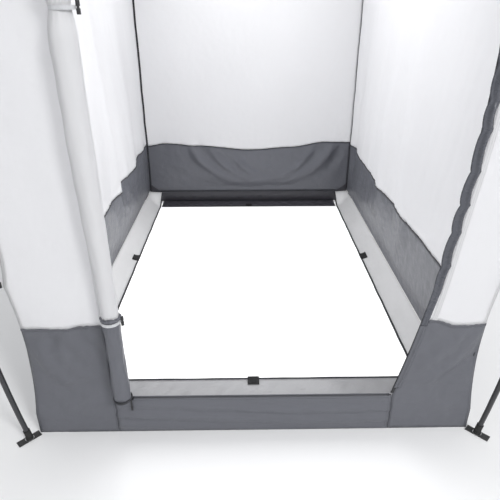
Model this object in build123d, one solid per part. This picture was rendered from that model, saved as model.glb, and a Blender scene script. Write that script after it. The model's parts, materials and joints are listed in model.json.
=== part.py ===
"""Utility tent: a fabric cabin with a mud band and turned-in ground flaps, hung inside an outer pole frame.

Millimetres, +Z up. The origin is the centre of the footprint on the ground. The door faces -Y.
"""

from build123d import *
import math
import os

# Cabin
HALF_WIDTH = 700.0  # inner face of the side walls
HALF_DEPTH = 1065.0  # inner face of the front and back walls
EAVE_Z = 1800.0
WALL_TOP_Z = 1798.0
PEAK_Z = 2100.0
CLOTH = 1.2  # thickness of every cloth solid
TAPE = 2.4  # thickness of folded binding tape
BAND_Z = 410.0  # top of the dark mud band
SEAM_Z = 79.0  # where the side walls meet their ground flaps
SEAM_GAP = 0.4  # clearance between cloth pieces that only meet along a seam

# Front wall and its door
SILL_Z = 146.0
DOOR_LEFT = -441.0
DOOR_BULGE_X = 560.0  # the curved zip reaches furthest out here
DOOR_BULGE_Z = 1150.0
DOOR_SILL_X = 436.0  # the curved zip starts here, at the sill
DOOR_TOP_Z = 1730.0
DOOR_CORNER_R = 210.0
STORM_FLAP_OUT = 20.0  # the storm flap covers this much of the panel beside the curved zip
STORM_FLAP_ASIDE_Z = 1340.0  # from here up it is pushed off the zip, clear of the slider
STORM_FLAP_LOW_Z = SILL_Z + 30.0

# Zips
TRACK_PROUD = 1.0  # how far a zip track stands in front of the wall
TRACK_WIDTH = 6.4
SLIDER = Vector(14.0, 5.0, 11.0)  # along the track, through it, across it
BAIL_R = 1.1
BAIL_OUT = 6.2  # the bail stands this far in front of the slider's centre
BAIL_FIT = 0.06  # radial clearance of a pull's eye on its bail
SILL_SLIDER_X = DOOR_LEFT + 53.0
SIDE_SLIDER_Z = 1420.0

# Back wall
BACK_SILL_Z = 75.0
GUSSET_X = 78.0
GUSSET_Z = 60.0

# Ground flaps
SIDE_FLAP_REACH = 92.0
FRONT_FLAP_REACH = 250.0
BACK_FLAP_REACH = 122.0
FLAP_END_GAP = 19.0  # a side flap stops this far short of the front and back walls
FLAP_PIVOT_GAP = 2.2  # a side flap's fold line stands this far inside the wall
FLAP_CLOTH = 1.6
FLAP_KNEE = (662.0, 16.0)  # the steep upper leaf of a side flap meets the shallow lower one here
BINDING = 9.0  # width of the folded tape on the flap edges
CORNER_TAPE = 12.0  # width of the folded tape in the cabin corners
PATCH_WIDTH = 42.0
PATCH_LENGTH = 62.0
PATCH_THICK = 2.0
PATCH_Y = 170.0  # the side patches sit here along the flaps

# Side windows
WINDOW_HALF_Y = 330.0
WINDOW_LOW_Z = 1330.0
WINDOW_HIGH_Z = 1660.0
BLIND_R = 16.0

# Back vent
VENT_HALF_X = 240.0
VENT_LOW_Z = 1520.0
VENT_HIGH_Z = 1670.0
VENT_OPEN_DEG = 19.0
HOOD_OVERLAP = 25.0  # the hood covers this much of the wall round the vent
HOOD_OUT = 5.0  # its hinge line stands this far off the wall
BATTEN = 3.0

# Roof: the share of the eave rectangle left at each height
ROOF_OVERHANG = 14.0
ROOF_CLOTH = 2.4
ROOF_LEVELS = ((1.0, EAVE_Z), (0.75, 1930.0), (0.4, 2045.0), (0.03, PEAK_Z))
VALANCE_DROP = 62.0

# Rolled door
ROLL_R = 26.0
ROLL_LOW_Z = 168.0
ROLL_HIGH_Z = 1716.0
ROLL_SEAM_Z = 478.0  # the roll's own change from dark to light cloth, raised by the rolling
ROLL_ASIDE = 7.0  # the roll hangs this far from the door seam
TIE_HEIGHTS = {"lower": 456.0, "upper": 1250.0}
TIE_WIDTH = 9.0
TIE_THICK = 2.0
TOGGLE_R = 4.5
TOGGLE_WAIST_R = 2.9
TOGGLE_LENGTH = 28.0

# Pole frame
POLE_R = 8.0
POLE_BORE_R = 7.2
FOOT_OUT = 26.0  # the feet stand this far outside the cabin corner, along X and along Y
LEG_BOW = 62.0  # how far a leg bows out, along the corner's diagonal
LEG_LOW_Z = 12.0
FERRULE_Z = 930.0
FERRULE_LENGTH = 64.0
ROD_R = 4.75
SOCKET_PLAY = 0.15
SOCKET_WALL = 3.0
HUB_R = 38.0
HUB_Z = 2165.0
HUB_HEIGHT = 30.0
ROD_MID_Z = 2082.0
POLE_CLIP_HEIGHTS = (560.0, 760.0, 1150.0, 1500.0)
ROD_CLIP_SHARES = (0.25, 0.5, 0.75)
WEBBING = 25.0
CLIP_TAB_THICK = 1.6
CLIP_HEIGHT = 20.0
ROD_TAB_HALF = 7.0

FRONT, BACK = -1, 1
LEFT, RIGHT = -1, 1
SIDES = {"left": LEFT, "right": RIGHT}
CORNERS = {
    "front_left": (LEFT, FRONT),
    "front_right": (RIGHT, FRONT),
    "back_left": (LEFT, BACK),
    "back_right": (RIGHT, BACK),
}
DIAGONAL = math.sqrt(0.5)
FRONT_OUT_Y = -HALF_DEPTH - CLOTH  # outer face of the front wall


# ---------------------------------------------------------------- helpers

def ordered(a, b):
    return (min(a, b), max(a, b))


def slab(x, y, z):
    """A box given by its (low, high) along each axis."""
    size = [high - low for low, high in (x, y, z)]
    centre = [(high + low) / 2 for low, high in (x, y, z)]
    return Pos(*centre) * Box(*size)


def bar(start, end, radius):
    """A solid round bar from start to end."""
    axis = Vector(*end) - Vector(*start)
    return extrude(Plane(origin=start, z_dir=axis) * Circle(radius), amount=axis.length)


def sleeve(plane, outer_r, inner_r, length):
    """A short round sleeve centred on a plane, along its Z."""
    start = Plane(origin=plane.origin - plane.z_dir * (length / 2), z_dir=plane.z_dir)
    return extrude(start * (Circle(outer_r) - Circle(inner_r)), amount=length)


def upright(face, y_low, y_high):
    """A face drawn in X and Z, made solid from y_low to y_high."""
    plane = Plane(origin=(0, y_low, 0), x_dir=(1, 0, 0), z_dir=(0, -1, 0))
    return extrude(plane * face, amount=-(y_high - y_low))


def outline(points):
    """A straight-sided face from its corner points."""
    return make_face(Polyline(*points, close=True))


def solids(*pieces):
    """Several separate solids kept together as one node."""
    return Compound(children=[solid for piece in pieces for solid in piece.solids()])


def facing(corner):
    """A turn about Z that points X out along a corner's diagonal."""
    return Rot(Z=math.degrees(math.atan2(corner[1], corner[0])))


# ---------------------------------------------------------------- the curved side of the door

ARC_RISE = DOOR_BULGE_Z - SILL_Z
ARC_SAG = DOOR_BULGE_X - DOOR_SILL_X
ARC_R = (ARC_RISE**2 + ARC_SAG**2) / (2 * ARC_SAG)
ARC_CENTRE_X = DOOR_BULGE_X - ARC_R
ARC_TOP_Z = DOOR_TOP_Z - DOOR_CORNER_R


def arc_x(z, inset=0.0):
    """X of the curved zip line at height z. A positive inset is towards the opening."""
    return ARC_CENTRE_X + math.sqrt((ARC_R - inset) ** 2 - (z - DOOR_BULGE_Z) ** 2)


def arc_edge(low_z, high_z, inset=0.0):
    """The curved zip line between two heights."""
    middle_z = (low_z + high_z) / 2
    return ThreePointArc(*[(arc_x(z, inset), z) for z in (low_z, middle_z, high_z)])


def arc_strip(outer_inset, inner_inset, low_z, high_z):
    """A face that follows the curved zip line between two insets."""
    outer = arc_edge(low_z, high_z, outer_inset)
    inner = arc_edge(low_z, high_z, inner_inset)
    return make_face(Curve() + [outer, Line(outer @ 1, inner @ 1), inner, Line(inner @ 0, outer @ 0)])


def right_of_arc(low_z, high_z):
    """The front wall between the curved zip and the corner, from low_z to high_z."""
    edge = arc_edge(low_z, high_z)
    sides = Polyline(edge @ 1, (HALF_WIDTH, high_z), (HALF_WIDTH, low_z), edge @ 0)
    return make_face(Curve() + [edge, sides])


# ---------------------------------------------------------------- cabin walls

def front_wall():
    """Panels, mud bands, header and sill of the front wall, round the D-shaped doorway."""
    y = (FRONT_OUT_Y, -HALF_DEPTH)
    left_of_door = (-HALF_WIDTH, DOOR_LEFT - SEAM_GAP)
    corner_x = arc_x(ARC_TOP_Z)
    header_end = corner_x - DOOR_CORNER_R
    rounding = ThreePointArc(
        (corner_x, ARC_TOP_Z),
        (header_end + DOOR_CORNER_R * DIAGONAL, ARC_TOP_Z + DOOR_CORNER_R * DIAGONAL),
        (header_end, DOOR_TOP_Z),
    )
    round_it = Polyline(
        rounding @ 1,
        (header_end, WALL_TOP_Z),
        (HALF_WIDTH, WALL_TOP_Z),
        (HALF_WIDTH, ARC_TOP_Z),
        rounding @ 0,
    )
    top_corner = make_face(Curve() + [rounding, round_it])
    lower_band = slab((DOOR_SILL_X, HALF_WIDTH), y, (0, SILL_Z))
    header_x = (DOOR_LEFT + SEAM_GAP, header_end - SEAM_GAP)
    sill_x = (DOOR_LEFT + SEAM_GAP, DOOR_SILL_X - SEAM_GAP)
    return {
        "front_left_panel": slab(left_of_door, y, (BAND_Z + SEAM_GAP, WALL_TOP_Z)),
        "front_left_band": slab(left_of_door, y, (0, BAND_Z)),
        "front_right_panel": upright(right_of_arc(BAND_Z + SEAM_GAP, ARC_TOP_Z), *y)
        + upright(top_corner, *y),
        "front_right_band": upright(right_of_arc(SILL_Z, BAND_Z), *y) + lower_band,
        "front_header": slab(header_x, y, (DOOR_TOP_Z, WALL_TOP_Z)),
        "front_sill": slab(sill_x, y, (0, SILL_Z - TRACK_WIDTH / 2 - SEAM_GAP)),
    }


def side_walls():
    """Side panels with their window meshes and rolled blinds, and the mud bands."""
    made = {}
    meshes, blinds = [], []
    window_y = (-WINDOW_HALF_Y, WINDOW_HALF_Y)
    window_z = (WINDOW_LOW_Z, WINDOW_HIGH_Z)
    mesh_y = (-WINDOW_HALF_Y + SEAM_GAP, WINDOW_HALF_Y - SEAM_GAP)
    mesh_z = (WINDOW_LOW_Z + SEAM_GAP, WINDOW_HIGH_Z - SEAM_GAP)
    depth = (-HALF_DEPTH, HALF_DEPTH)
    blind_end = WINDOW_HALF_Y + BLIND_R
    blind_z = WINDOW_HIGH_Z + BLIND_R + 6
    for name, side in SIDES.items():
        x = ordered(side * HALF_WIDTH, side * (HALF_WIDTH + CLOTH))
        panel = slab(x, depth, (BAND_Z + SEAM_GAP, WALL_TOP_Z))
        made[f"{name}_wall_panel"] = panel - slab(x, window_y, window_z)
        made[f"{name}_wall_band"] = slab(x, depth, (SEAM_Z + SEAM_GAP, BAND_Z))
        meshes.append(slab(x, mesh_y, mesh_z))
        blind_x = side * (HALF_WIDTH + CLOTH + BLIND_R + 2)
        blinds.append(bar((blind_x, -blind_end, blind_z), (blind_x, blind_end, blind_z), BLIND_R))
    made["side_window_meshes"] = solids(*meshes)
    made["side_window_blinds"] = solids(*blinds)
    return made


def back_wall():
    """Back panel with its vent mesh, mud band with cut lower corners, gussets and sill."""
    y = (HALF_DEPTH, HALF_DEPTH + CLOTH)
    width = (-HALF_WIDTH, HALF_WIDTH)
    panel = slab(width, y, (BAND_Z + SEAM_GAP, WALL_TOP_Z))
    panel -= slab((-VENT_HALF_X, VENT_HALF_X), y, (VENT_LOW_Z, VENT_HIGH_Z))
    low_z = BACK_SILL_Z + SEAM_GAP
    band = outline(
        [
            (HALF_WIDTH - GUSSET_X, low_z),
            (HALF_WIDTH, low_z + GUSSET_Z),
            (HALF_WIDTH, BAND_Z),
            (-HALF_WIDTH, BAND_Z),
            (-HALF_WIDTH, low_z + GUSSET_Z),
            (-HALF_WIDTH + GUSSET_X, low_z),
        ]
    )
    gussets = [
        outline(
            [
                (side * HALF_WIDTH, low_z),
                (side * (HALF_WIDTH - GUSSET_X + 2), low_z),
                (side * HALF_WIDTH, low_z + GUSSET_Z - 2),
            ]
        )
        for side in SIDES.values()
    ]
    mesh_x = (-VENT_HALF_X + SEAM_GAP, VENT_HALF_X - SEAM_GAP)
    return {
        "back_wall_panel": panel,
        "back_wall_band": upright(band, *y),
        "back_corner_gussets": solids(*[upright(gusset, *y) for gusset in gussets]),
        "back_sill": slab(width, y, (0, BACK_SILL_Z)),
        "back_vent_mesh": slab(mesh_x, y, (VENT_LOW_Z + SEAM_GAP, VENT_HIGH_Z - SEAM_GAP)),
    }


def vent_hood():
    """A hood over the back vent with a stiff batten in its hem, propped open about its top edge."""
    half_x = VENT_HALF_X + HOOD_OVERLAP
    length = VENT_HIGH_Z - VENT_LOW_Z + HOOD_OVERLAP
    sheet = slab((-half_x, half_x), (0, CLOTH), (-length, 0))
    batten = slab((-half_x + BATTEN, half_x - BATTEN), (CLOTH, CLOTH + BATTEN), (-length, 14 - length))
    place = Pos(0, HALF_DEPTH + CLOTH + HOOD_OUT, VENT_HIGH_Z + 10) * Rot(X=VENT_OPEN_DEG)
    return {"vent_hood": place * sheet, "vent_hood_batten": place * batten}


def roof_facet(half_x, half_y, below, above, turned):
    """One flat trapezoid of the roof, between two levels. The eave edge runs along X, or along Y if turned."""
    (low_share, low_z), (high_share, high_z) = below, above
    sign = 1 if not turned else -1
    corners = [
        (-low_share, low_share, low_z),
        (low_share, low_share, low_z),
        (high_share, high_share, high_z),
        (-high_share, high_share, high_z),
    ]
    if turned:
        points = [(half_x * far, half_y * along, z) for along, far, z in corners]
    else:
        points = [(half_x * along, half_y * far, z) for along, far, z in corners]
    face = make_face(Polyline(*points, close=True))
    return extrude(face, amount=sign * ROOF_CLOTH, dir=(0, 0, -sign))


def canopy():
    """The roof as thin flat facets that rise from the eaves to the peak, and its valance."""
    half_x, half_y = HALF_WIDTH + ROOF_OVERHANG, HALF_DEPTH + ROOF_OVERHANG
    peak_share = ROOF_LEVELS[-1][0]
    peak_x, peak_y = half_x * peak_share, half_y * peak_share
    facets = [slab((-peak_x, peak_x), (-peak_y, peak_y), (PEAK_Z - ROOF_CLOTH, PEAK_Z))]
    for below, above in zip(ROOF_LEVELS, ROOF_LEVELS[1:]):
        for turned in (False, True):
            facet = roof_facet(half_x, half_y, below, above, turned)
            facets += [facet, Rot(Z=180) * facet]
    z = (EAVE_Z - VALANCE_DROP, EAVE_Z - ROOF_CLOTH - SEAM_GAP)
    strips = []
    for side in SIDES.values():
        x = ordered(side * half_x, side * (half_x - CLOTH))
        strips.append(slab(x, (-half_y, half_y), z))
        y = ordered(side * half_y, side * (half_y - CLOTH))
        strips.append(slab((CLOTH - half_x, half_x - CLOTH), y, z))
    return {"roof_canopy": solids(*facets), "eave_valance": solids(*strips)}


def corner_bindings():
    """Folded tape that stands off each inside corner, from above the flaps to the eaves."""
    start, low_z, high_z = 2.2, 100.0, EAVE_Z - 6
    strip = slab((-start - CORNER_TAPE, -start), (-TAPE / 2, TAPE / 2), (low_z, high_z))
    places = [Pos(sx * HALF_WIDTH, sy * HALF_DEPTH, 0) * facing((sx, sy)) for sx, sy in CORNERS.values()]
    return {"corner_bindings": solids(*[place * strip for place in places])}


# ---------------------------------------------------------------- ground flaps

def flap_leaf(high, low, side, half_y):
    """One flat leaf of a side flap, between two (x, z) edges given for the right side."""
    section = [high, low, (low[0], low[1] + FLAP_CLOTH), (high[0], high[1] + FLAP_CLOTH)]
    return upright(outline([(side * x, z) for x, z in section]), -half_y, half_y)


def side_flaps():
    """The sloping flaps under the side walls, each with its edge tape and hook patch."""
    made = {}
    half_y = HALF_DEPTH - FLAP_END_GAP
    for name, side in SIDES.items():
        fold_x = HALF_WIDTH - FLAP_PIVOT_GAP
        foot_x = HALF_WIDTH - SIDE_FLAP_REACH + BINDING + SEAM_GAP
        knee_x, knee_z = FLAP_KNEE
        upper = flap_leaf((fold_x, SEAM_Z - 1), (knee_x, knee_z + SEAM_GAP), side, half_y)
        lower = flap_leaf((knee_x, knee_z), (foot_x, 0.2), side, half_y)
        made[f"{name}_ground_flap"] = solids(upper, lower)
        tape_x = ordered(side * (foot_x - SEAM_GAP), side * (foot_x - SEAM_GAP - BINDING))
        made[f"{name}_flap_binding"] = slab(tape_x, (-half_y, half_y), (0, TAPE))
        slope = math.degrees(math.atan2(knee_z, knee_x - foot_x))
        patch = slab((0, PATCH_WIDTH), (-PATCH_LENGTH / 2, PATCH_LENGTH / 2), (0, PATCH_THICK))
        turn = Rot(Z=0 if side == RIGHT else 180) * Rot(Y=-slope)
        foot = Pos(side * (foot_x + 0.6), PATCH_Y, 0.2 + FLAP_CLOTH + SEAM_GAP)
        made[f"{name}_hook_patch"] = foot * turn * patch
    return made


def end_flaps():
    """The flat flaps under the front and back walls, with their edge tapes and hook patches."""
    made = {}
    bindings, patches = [], []
    half_x = HALF_WIDTH - SIDE_FLAP_REACH - 2
    for name, end, reach in (("front", FRONT, FRONT_FLAP_REACH), ("back", BACK, BACK_FLAP_REACH)):
        wall_y = end * (HALF_DEPTH - 1)
        tape_y = end * (HALF_DEPTH - reach + BINDING)
        cloth_y = ordered(wall_y, tape_y + end * SEAM_GAP)
        made[f"{name}_ground_flap"] = slab((-half_x, half_x), cloth_y, (0, CLOTH))
        bindings.append(slab((-half_x, half_x), ordered(tape_y, tape_y - end * BINDING), (0, TAPE)))
        patch_y = ordered(tape_y + end * SEAM_GAP, tape_y + end * PATCH_WIDTH)
        patch_z = (CLOTH + 0.1, CLOTH + 0.1 + PATCH_THICK)
        patches.append(slab((-PATCH_WIDTH / 2, PATCH_WIDTH / 2), patch_y, patch_z))
    made["end_flap_bindings"] = solids(*bindings)
    made["end_hook_patches"] = solids(*patches)
    return made


# ---------------------------------------------------------------- door

ROLL_X = DOOR_LEFT + ROLL_R + ROLL_ASIDE
ROLL_Y = FRONT_OUT_Y - ROLL_R - 3
LOOP_R = ROLL_R + 0.3


def door_roll():
    """The rolled door, tied up along the left seam of the doorway, with its two ties."""
    made = {
        "door_roll_upper": bar((ROLL_X, ROLL_Y, ROLL_SEAM_Z), (ROLL_X, ROLL_Y, ROLL_HIGH_Z), ROLL_R),
        "door_roll_lower": bar(
            (ROLL_X, ROLL_Y, ROLL_LOW_Z), (ROLL_X, ROLL_Y, ROLL_SEAM_Z - SEAM_GAP), ROLL_R
        ),
    }
    loops = []
    toggle_x = ROLL_X + LOOP_R + TIE_THICK + TOGGLE_R + SEAM_GAP
    for name, z in TIE_HEIGHTS.items():
        ring = Cylinder(LOOP_R + TIE_THICK, TIE_WIDTH) - Cylinder(LOOP_R, TIE_WIDTH)
        loops.append(Pos(ROLL_X, ROLL_Y, z) * ring)
        ends = Cylinder(TOGGLE_R, TOGGLE_LENGTH) - Cylinder(TOGGLE_R, TOGGLE_R)
        waist = Cylinder(TOGGLE_WAIST_R, TOGGLE_LENGTH / 2)
        made[f"{name}_tie_toggle"] = Pos(toggle_x, ROLL_Y, z) * (ends + waist)
    made["door_tie_loops"] = solids(*loops)
    return made


def zip_tracks():
    """The straight track along the sill, the curved one beside it and its storm flap."""
    track_y = (FRONT_OUT_Y - TRACK_PROUD, -HALF_DEPTH + TRACK_PROUD / 2)
    sill_x = (DOOR_LEFT + 4, DOOR_SILL_X - 4)
    sill_z = (SILL_Z - TRACK_WIDTH / 2, SILL_Z + TRACK_WIDTH / 2)
    side_track = arc_strip(SEAM_GAP, TRACK_WIDTH, sill_z[1] + SEAM_GAP, ARC_TOP_Z)
    flap_y = (FRONT_OUT_Y - TRACK_PROUD - 0.6 - CLOTH, FRONT_OUT_Y - TRACK_PROUD - 0.6)
    over = arc_strip(-STORM_FLAP_OUT, TRACK_WIDTH + SEAM_GAP, STORM_FLAP_LOW_Z, STORM_FLAP_ASIDE_Z)
    aside = arc_strip(
        -STORM_FLAP_OUT - TRACK_WIDTH, SEAM_GAP, STORM_FLAP_ASIDE_Z + SEAM_GAP, ARC_TOP_Z
    )
    return {
        "door_zip_sill": slab(sill_x, track_y, sill_z),
        "door_zip_side": upright(side_track, *track_y),
        "door_storm_flap": solids(upright(over, *flap_y), upright(aside, *flap_y)),
    }


def zip_slider(along_x):
    """A slider body with the bail that carries its pull. The track runs along X or along Z."""
    size = SLIDER if along_x else Vector(SLIDER.Z, SLIDER.Y, SLIDER.X)
    body = Box(*size)
    body = fillet(body.edges().filter_by(Axis.Y), 3.0)
    rail_half = 4.5
    body += bar((-rail_half, -BAIL_OUT, 0), (rail_half, -BAIL_OUT, 0), BAIL_R)
    for end in (-1, 1):
        post_x = (end * rail_half - 0.8, end * rail_half + 0.8)
        body += slab(post_x, (-BAIL_OUT - BAIL_R, -SLIDER.Y / 2 + 0.2), (-BAIL_R, BAIL_R))
    return body


def zip_pull():
    """A tab that hangs from the bail. Its eye is a running fit on the rail."""
    eye_r, tab_x, tab_y = 2.6, 2.5, 0.8
    eye = bar((-tab_x, -BAIL_OUT, 0), (tab_x, -BAIL_OUT, 0), eye_r)
    tab = slab((-tab_x, tab_x), (-BAIL_OUT - tab_y, -BAIL_OUT + tab_y), (-30, -eye_r + 0.5))
    grip = slab((-3.2, 3.2), (-BAIL_OUT - 1.6, -BAIL_OUT + 1.6), (-44, -28))
    bore = bar((-SLIDER.X, -BAIL_OUT, 0), (SLIDER.X, -BAIL_OUT, 0), BAIL_R + BAIL_FIT)
    return eye + tab + grip - bore


def zip_hardware():
    """Both sliders with their pulls. The one on the curved track is turned to follow it."""
    slider_y = FRONT_OUT_Y - TRACK_PROUD - SLIDER.Y / 2 - 0.3
    sill_place = Pos(SILL_SLIDER_X, slider_y, SILL_Z)
    track_r = ARC_R - TRACK_WIDTH / 2
    slope = math.asin((SIDE_SLIDER_Z - DOOR_BULGE_Z) / track_r)
    side_x = ARC_CENTRE_X + track_r * math.cos(slope)
    side_place = Pos(side_x, slider_y - 2, SIDE_SLIDER_Z) * Rot(Y=-math.degrees(slope))
    return {
        "sill_zip_slider": sill_place * zip_slider(along_x=True),
        "sill_zip_pull": sill_place * zip_pull(),
        "side_zip_slider": side_place * zip_slider(along_x=False),
        "side_zip_pull": side_place * zip_pull(),
    }


# ---------------------------------------------------------------- pole frame

LEG_RISE = EAVE_Z - LEG_LOW_Z
LEG_R = (LEG_RISE**2 / 4 + LEG_BOW**2) / (2 * LEG_BOW)
LEG_HALF_ANGLE = math.asin(LEG_RISE / 2 / LEG_R)


def leg_point(corner, share):
    """A point on a leg's centre line; share runs from 0 at the foot to 1 at the elbow."""
    angle = LEG_HALF_ANGLE * (2 * share - 1)
    out = FOOT_OUT + LEG_R * (math.cos(angle) - math.cos(LEG_HALF_ANGLE)) * DIAGONAL
    z = LEG_LOW_Z + LEG_RISE / 2 + LEG_R * math.sin(angle)
    return Vector(corner[0] * (HALF_WIDTH + out), corner[1] * (HALF_DEPTH + out), z)


def leg_share(z):
    """The share along a leg at height z."""
    return (math.asin((z - LEG_LOW_Z - LEG_RISE / 2) / LEG_R) / LEG_HALF_ANGLE + 1) / 2


def leg_plane(corner, z):
    """A plane on a leg's centre line at height z, with its Z along the leg."""
    share, step = leg_share(z), 0.002
    along = leg_point(corner, share + step) - leg_point(corner, share - step)
    return Plane(origin=leg_point(corner, share), z_dir=along)


def leg_tube(corner, start, end):
    """A bowed steel tube along a leg between two shares of its length."""
    path = Edge.make_three_point_arc(*[leg_point(corner, s) for s in (start, (start + end) / 2, end)])
    ring = Circle(POLE_R) - Circle(POLE_BORE_R)
    return sweep(Plane(origin=path @ 0, z_dir=path % 0) * ring, path=path)


def rod_path(corner):
    """The centre line of a roof rod, from its elbow to the middle of the hub."""
    start = leg_point(corner, 1.0) + Vector(0, 0, 26)
    reach = math.hypot(start.X, start.Y)
    end = Vector(start.X * HUB_R / reach, start.Y * HUB_R / reach, HUB_Z)
    middle = Vector(start.X * 0.52, start.Y * 0.52, ROD_MID_Z)
    return Edge.make_three_point_arc(start, middle, end)


def legs():
    """Each leg is two tubes, one above the other, joined by a ferrule."""
    made = {}
    ferrules = []
    joint = leg_share(FERRULE_Z)
    for name, corner in CORNERS.items():
        lower = leg_tube(corner, 0.004, joint - 0.0004)
        upper = leg_tube(corner, joint + 0.0004, 0.985)
        made[f"leg_{name}"] = solids(lower, upper)
        plane = leg_plane(corner, FERRULE_Z)
        ferrules.append(sleeve(plane, POLE_R + 1.8, POLE_R + SOCKET_PLAY, FERRULE_LENGTH))
    made["leg_ferrules"] = solids(*ferrules)
    return made


def roof_frame():
    """Elbows at the eaves, the four roof rods and the hub where they meet."""
    made = {}
    elbows = []
    hub = Pos(0, 0, HUB_Z) * Cylinder(HUB_R, HUB_HEIGHT)
    hub = fillet(hub.edges().filter_by(GeomType.CIRCLE), 6)
    for name, corner in CORNERS.items():
        path = rod_path(corner)
        rod_ends = (0.018, 0.985)
        rod_line = Edge.make_three_point_arc(path @ rod_ends[0], path @ 0.5, path @ rod_ends[1])
        section = Plane(origin=rod_line @ 0, z_dir=rod_line % 0) * Circle(ROD_R)
        made[f"roof_rod_{name}"] = sweep(section, path=rod_line)

        knuckle = leg_point(corner, 1.0) + Vector(0, 0, 8)
        mouth = leg_plane(corner, EAVE_Z - 30)
        elbow = Pos(*knuckle) * Sphere(POLE_R + 7)
        elbow += bar(mouth.origin, knuckle, POLE_R + SOCKET_WALL)
        elbow += bar(knuckle, path @ 0.05, ROD_R + SOCKET_WALL)
        below = mouth.origin - mouth.z_dir * 5
        elbow -= bar(below, leg_point(corner, 0.99), POLE_R + SOCKET_PLAY)
        elbow -= bar(path @ 0.012, path @ 0.09, ROD_R + 0.6)
        elbows.append(elbow)

        hub += bar(path @ 0.95, (0, 0, HUB_Z), ROD_R + SOCKET_WALL)
        hub -= bar(path @ 0.93, path @ 0.99, ROD_R + 0.5)
    made["eave_elbows"] = solids(*elbows)
    made["roof_hub"] = hub
    return made


def pole_clip(axis, inward, pole_r, turn):
    """A clip that snaps round a pole, open on the outer side and lugged on the inner side."""
    bore_r = pole_r + SOCKET_PLAY
    ring = sleeve(axis, pole_r + SOCKET_WALL, bore_r, CLIP_HEIGHT)
    lug = Pos(*(axis.origin + inward * (pole_r + 6))) * turn * Box(8, 5, CLIP_HEIGHT - 4)
    mouth = Pos(*(axis.origin - inward * pole_r)) * turn * Box(pole_r * 1.2, pole_r * 1.5, 60)
    core = bar(axis.origin - axis.z_dir * 30, axis.origin + axis.z_dir * 30, bore_r)
    return ring + lug - mouth - core


def canopy_z(share):
    """Height of the canopy's outer surface where a share of the eave rectangle is left."""
    for (outer, low_z), (inner, high_z) in zip(ROOF_LEVELS, ROOF_LEVELS[1:]):
        if share >= inner:
            return low_z + (high_z - low_z) * (outer - share) / (outer - inner)
    return PEAK_Z


def clips():
    """Clips round the legs and the roof rods, each with the webbing tab sewn to the cloth."""
    hooks, tabs = [], []
    for corner in CORNERS.values():
        inward = Vector(-corner[0] * DIAGONAL, -corner[1] * DIAGONAL, 0)
        for z in POLE_CLIP_HEIGHTS:
            axis = leg_plane(corner, z)
            hooks.append(pole_clip(axis, inward, POLE_R, facing(corner)))
            seam = Vector(corner[0] * (HALF_WIDTH + CLOTH), corner[1] * (HALF_DEPTH + CLOTH), z)
            lug_end = axis.origin + inward * (POLE_R + 11)
            length = (lug_end - seam).length - 2
            middle = (seam + lug_end) * 0.5
            tabs.append(Pos(*middle) * facing(corner) * Box(length, CLIP_TAB_THICK, CLIP_HEIGHT - 2))
        path = rod_path(corner)
        for share in ROD_CLIP_SHARES:
            centre, along = path @ share, path % share
            hooks.append(sleeve(Plane(origin=centre, z_dir=along), ROD_R + 2.5, ROD_R + SOCKET_PLAY, 14))
            share_left = abs(centre.X) / (HALF_WIDTH + ROOF_OVERHANG)
            slope = abs(along.Z) / math.hypot(along.X, along.Y)
            below_rod = (ROD_R + 2.5) * math.sqrt(1 + slope**2) + ROD_TAB_HALF * slope + 1
            tab_z = (canopy_z(share_left) + 6, centre.Z - below_rod)
            turn = Rot(Z=math.degrees(math.atan2(along.Y, along.X)))
            tab_x = (-ROD_TAB_HALF, ROD_TAB_HALF)
            tab = slab(tab_x, (-CLIP_TAB_THICK / 2, CLIP_TAB_THICK / 2), tab_z)
            tabs.append(Pos(centre.X, centre.Y, 0) * turn * tab)
    return {"pole_clips": solids(*hooks), "clip_tabs": solids(*tabs)}


def feet():
    """Rubber foot caps, the plates they stand on and the corner webbing under them."""
    caps, straps, plates = [], [], []
    strap_thick, plate_thick, pad_high = 2.0, 1.0, 8.0
    reach = FOOT_OUT / DIAGONAL
    strap = slab((2, reach + 38), (-WEBBING / 2, WEBBING / 2), (0, strap_thick))
    for corner in CORNERS.values():
        base = leg_point(corner, 0.0)
        plate_z = strap_thick + plate_thick / 2 + 0.2
        plates.append(Pos(base.X, base.Y, plate_z) * Cylinder(POLE_R + 6, plate_thick))
        pad = Pos(base.X, base.Y, plate_z + plate_thick / 2 + 0.2 + pad_high / 2)
        cap = sleeve(leg_plane(corner, LEG_LOW_Z + 14), POLE_R + 2.5, POLE_R + SOCKET_PLAY, 28)
        caps.append(cap + pad * Cylinder(POLE_R + 4, pad_high))
        straps.append(Pos(corner[0] * HALF_WIDTH, corner[1] * HALF_DEPTH, 0) * facing(corner) * strap)
    return {
        "foot_caps": solids(*caps),
        "foot_plates": solids(*plates),
        "corner_straps": solids(*straps),
    }


SECTIONS = (
    front_wall,
    side_walls,
    back_wall,
    vent_hood,
    canopy,
    corner_bindings,
    side_flaps,
    end_flaps,
    door_roll,
    zip_tracks,
    zip_hardware,
    legs,
    roof_frame,
    clips,
    feet,
)


def main():
    os.makedirs("parts", exist_ok=True)
    for section in SECTIONS:
        for name, shape in section().items():
            export_step(shape, f"parts/{name}.step")


main()
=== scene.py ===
"""Looks of the utility tent: a cloth cabin with a mud band and ground flaps, hung in an outer pole frame.

Metres, +Z up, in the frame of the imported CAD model. The door faces -Y.
"""

import json
import math

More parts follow.
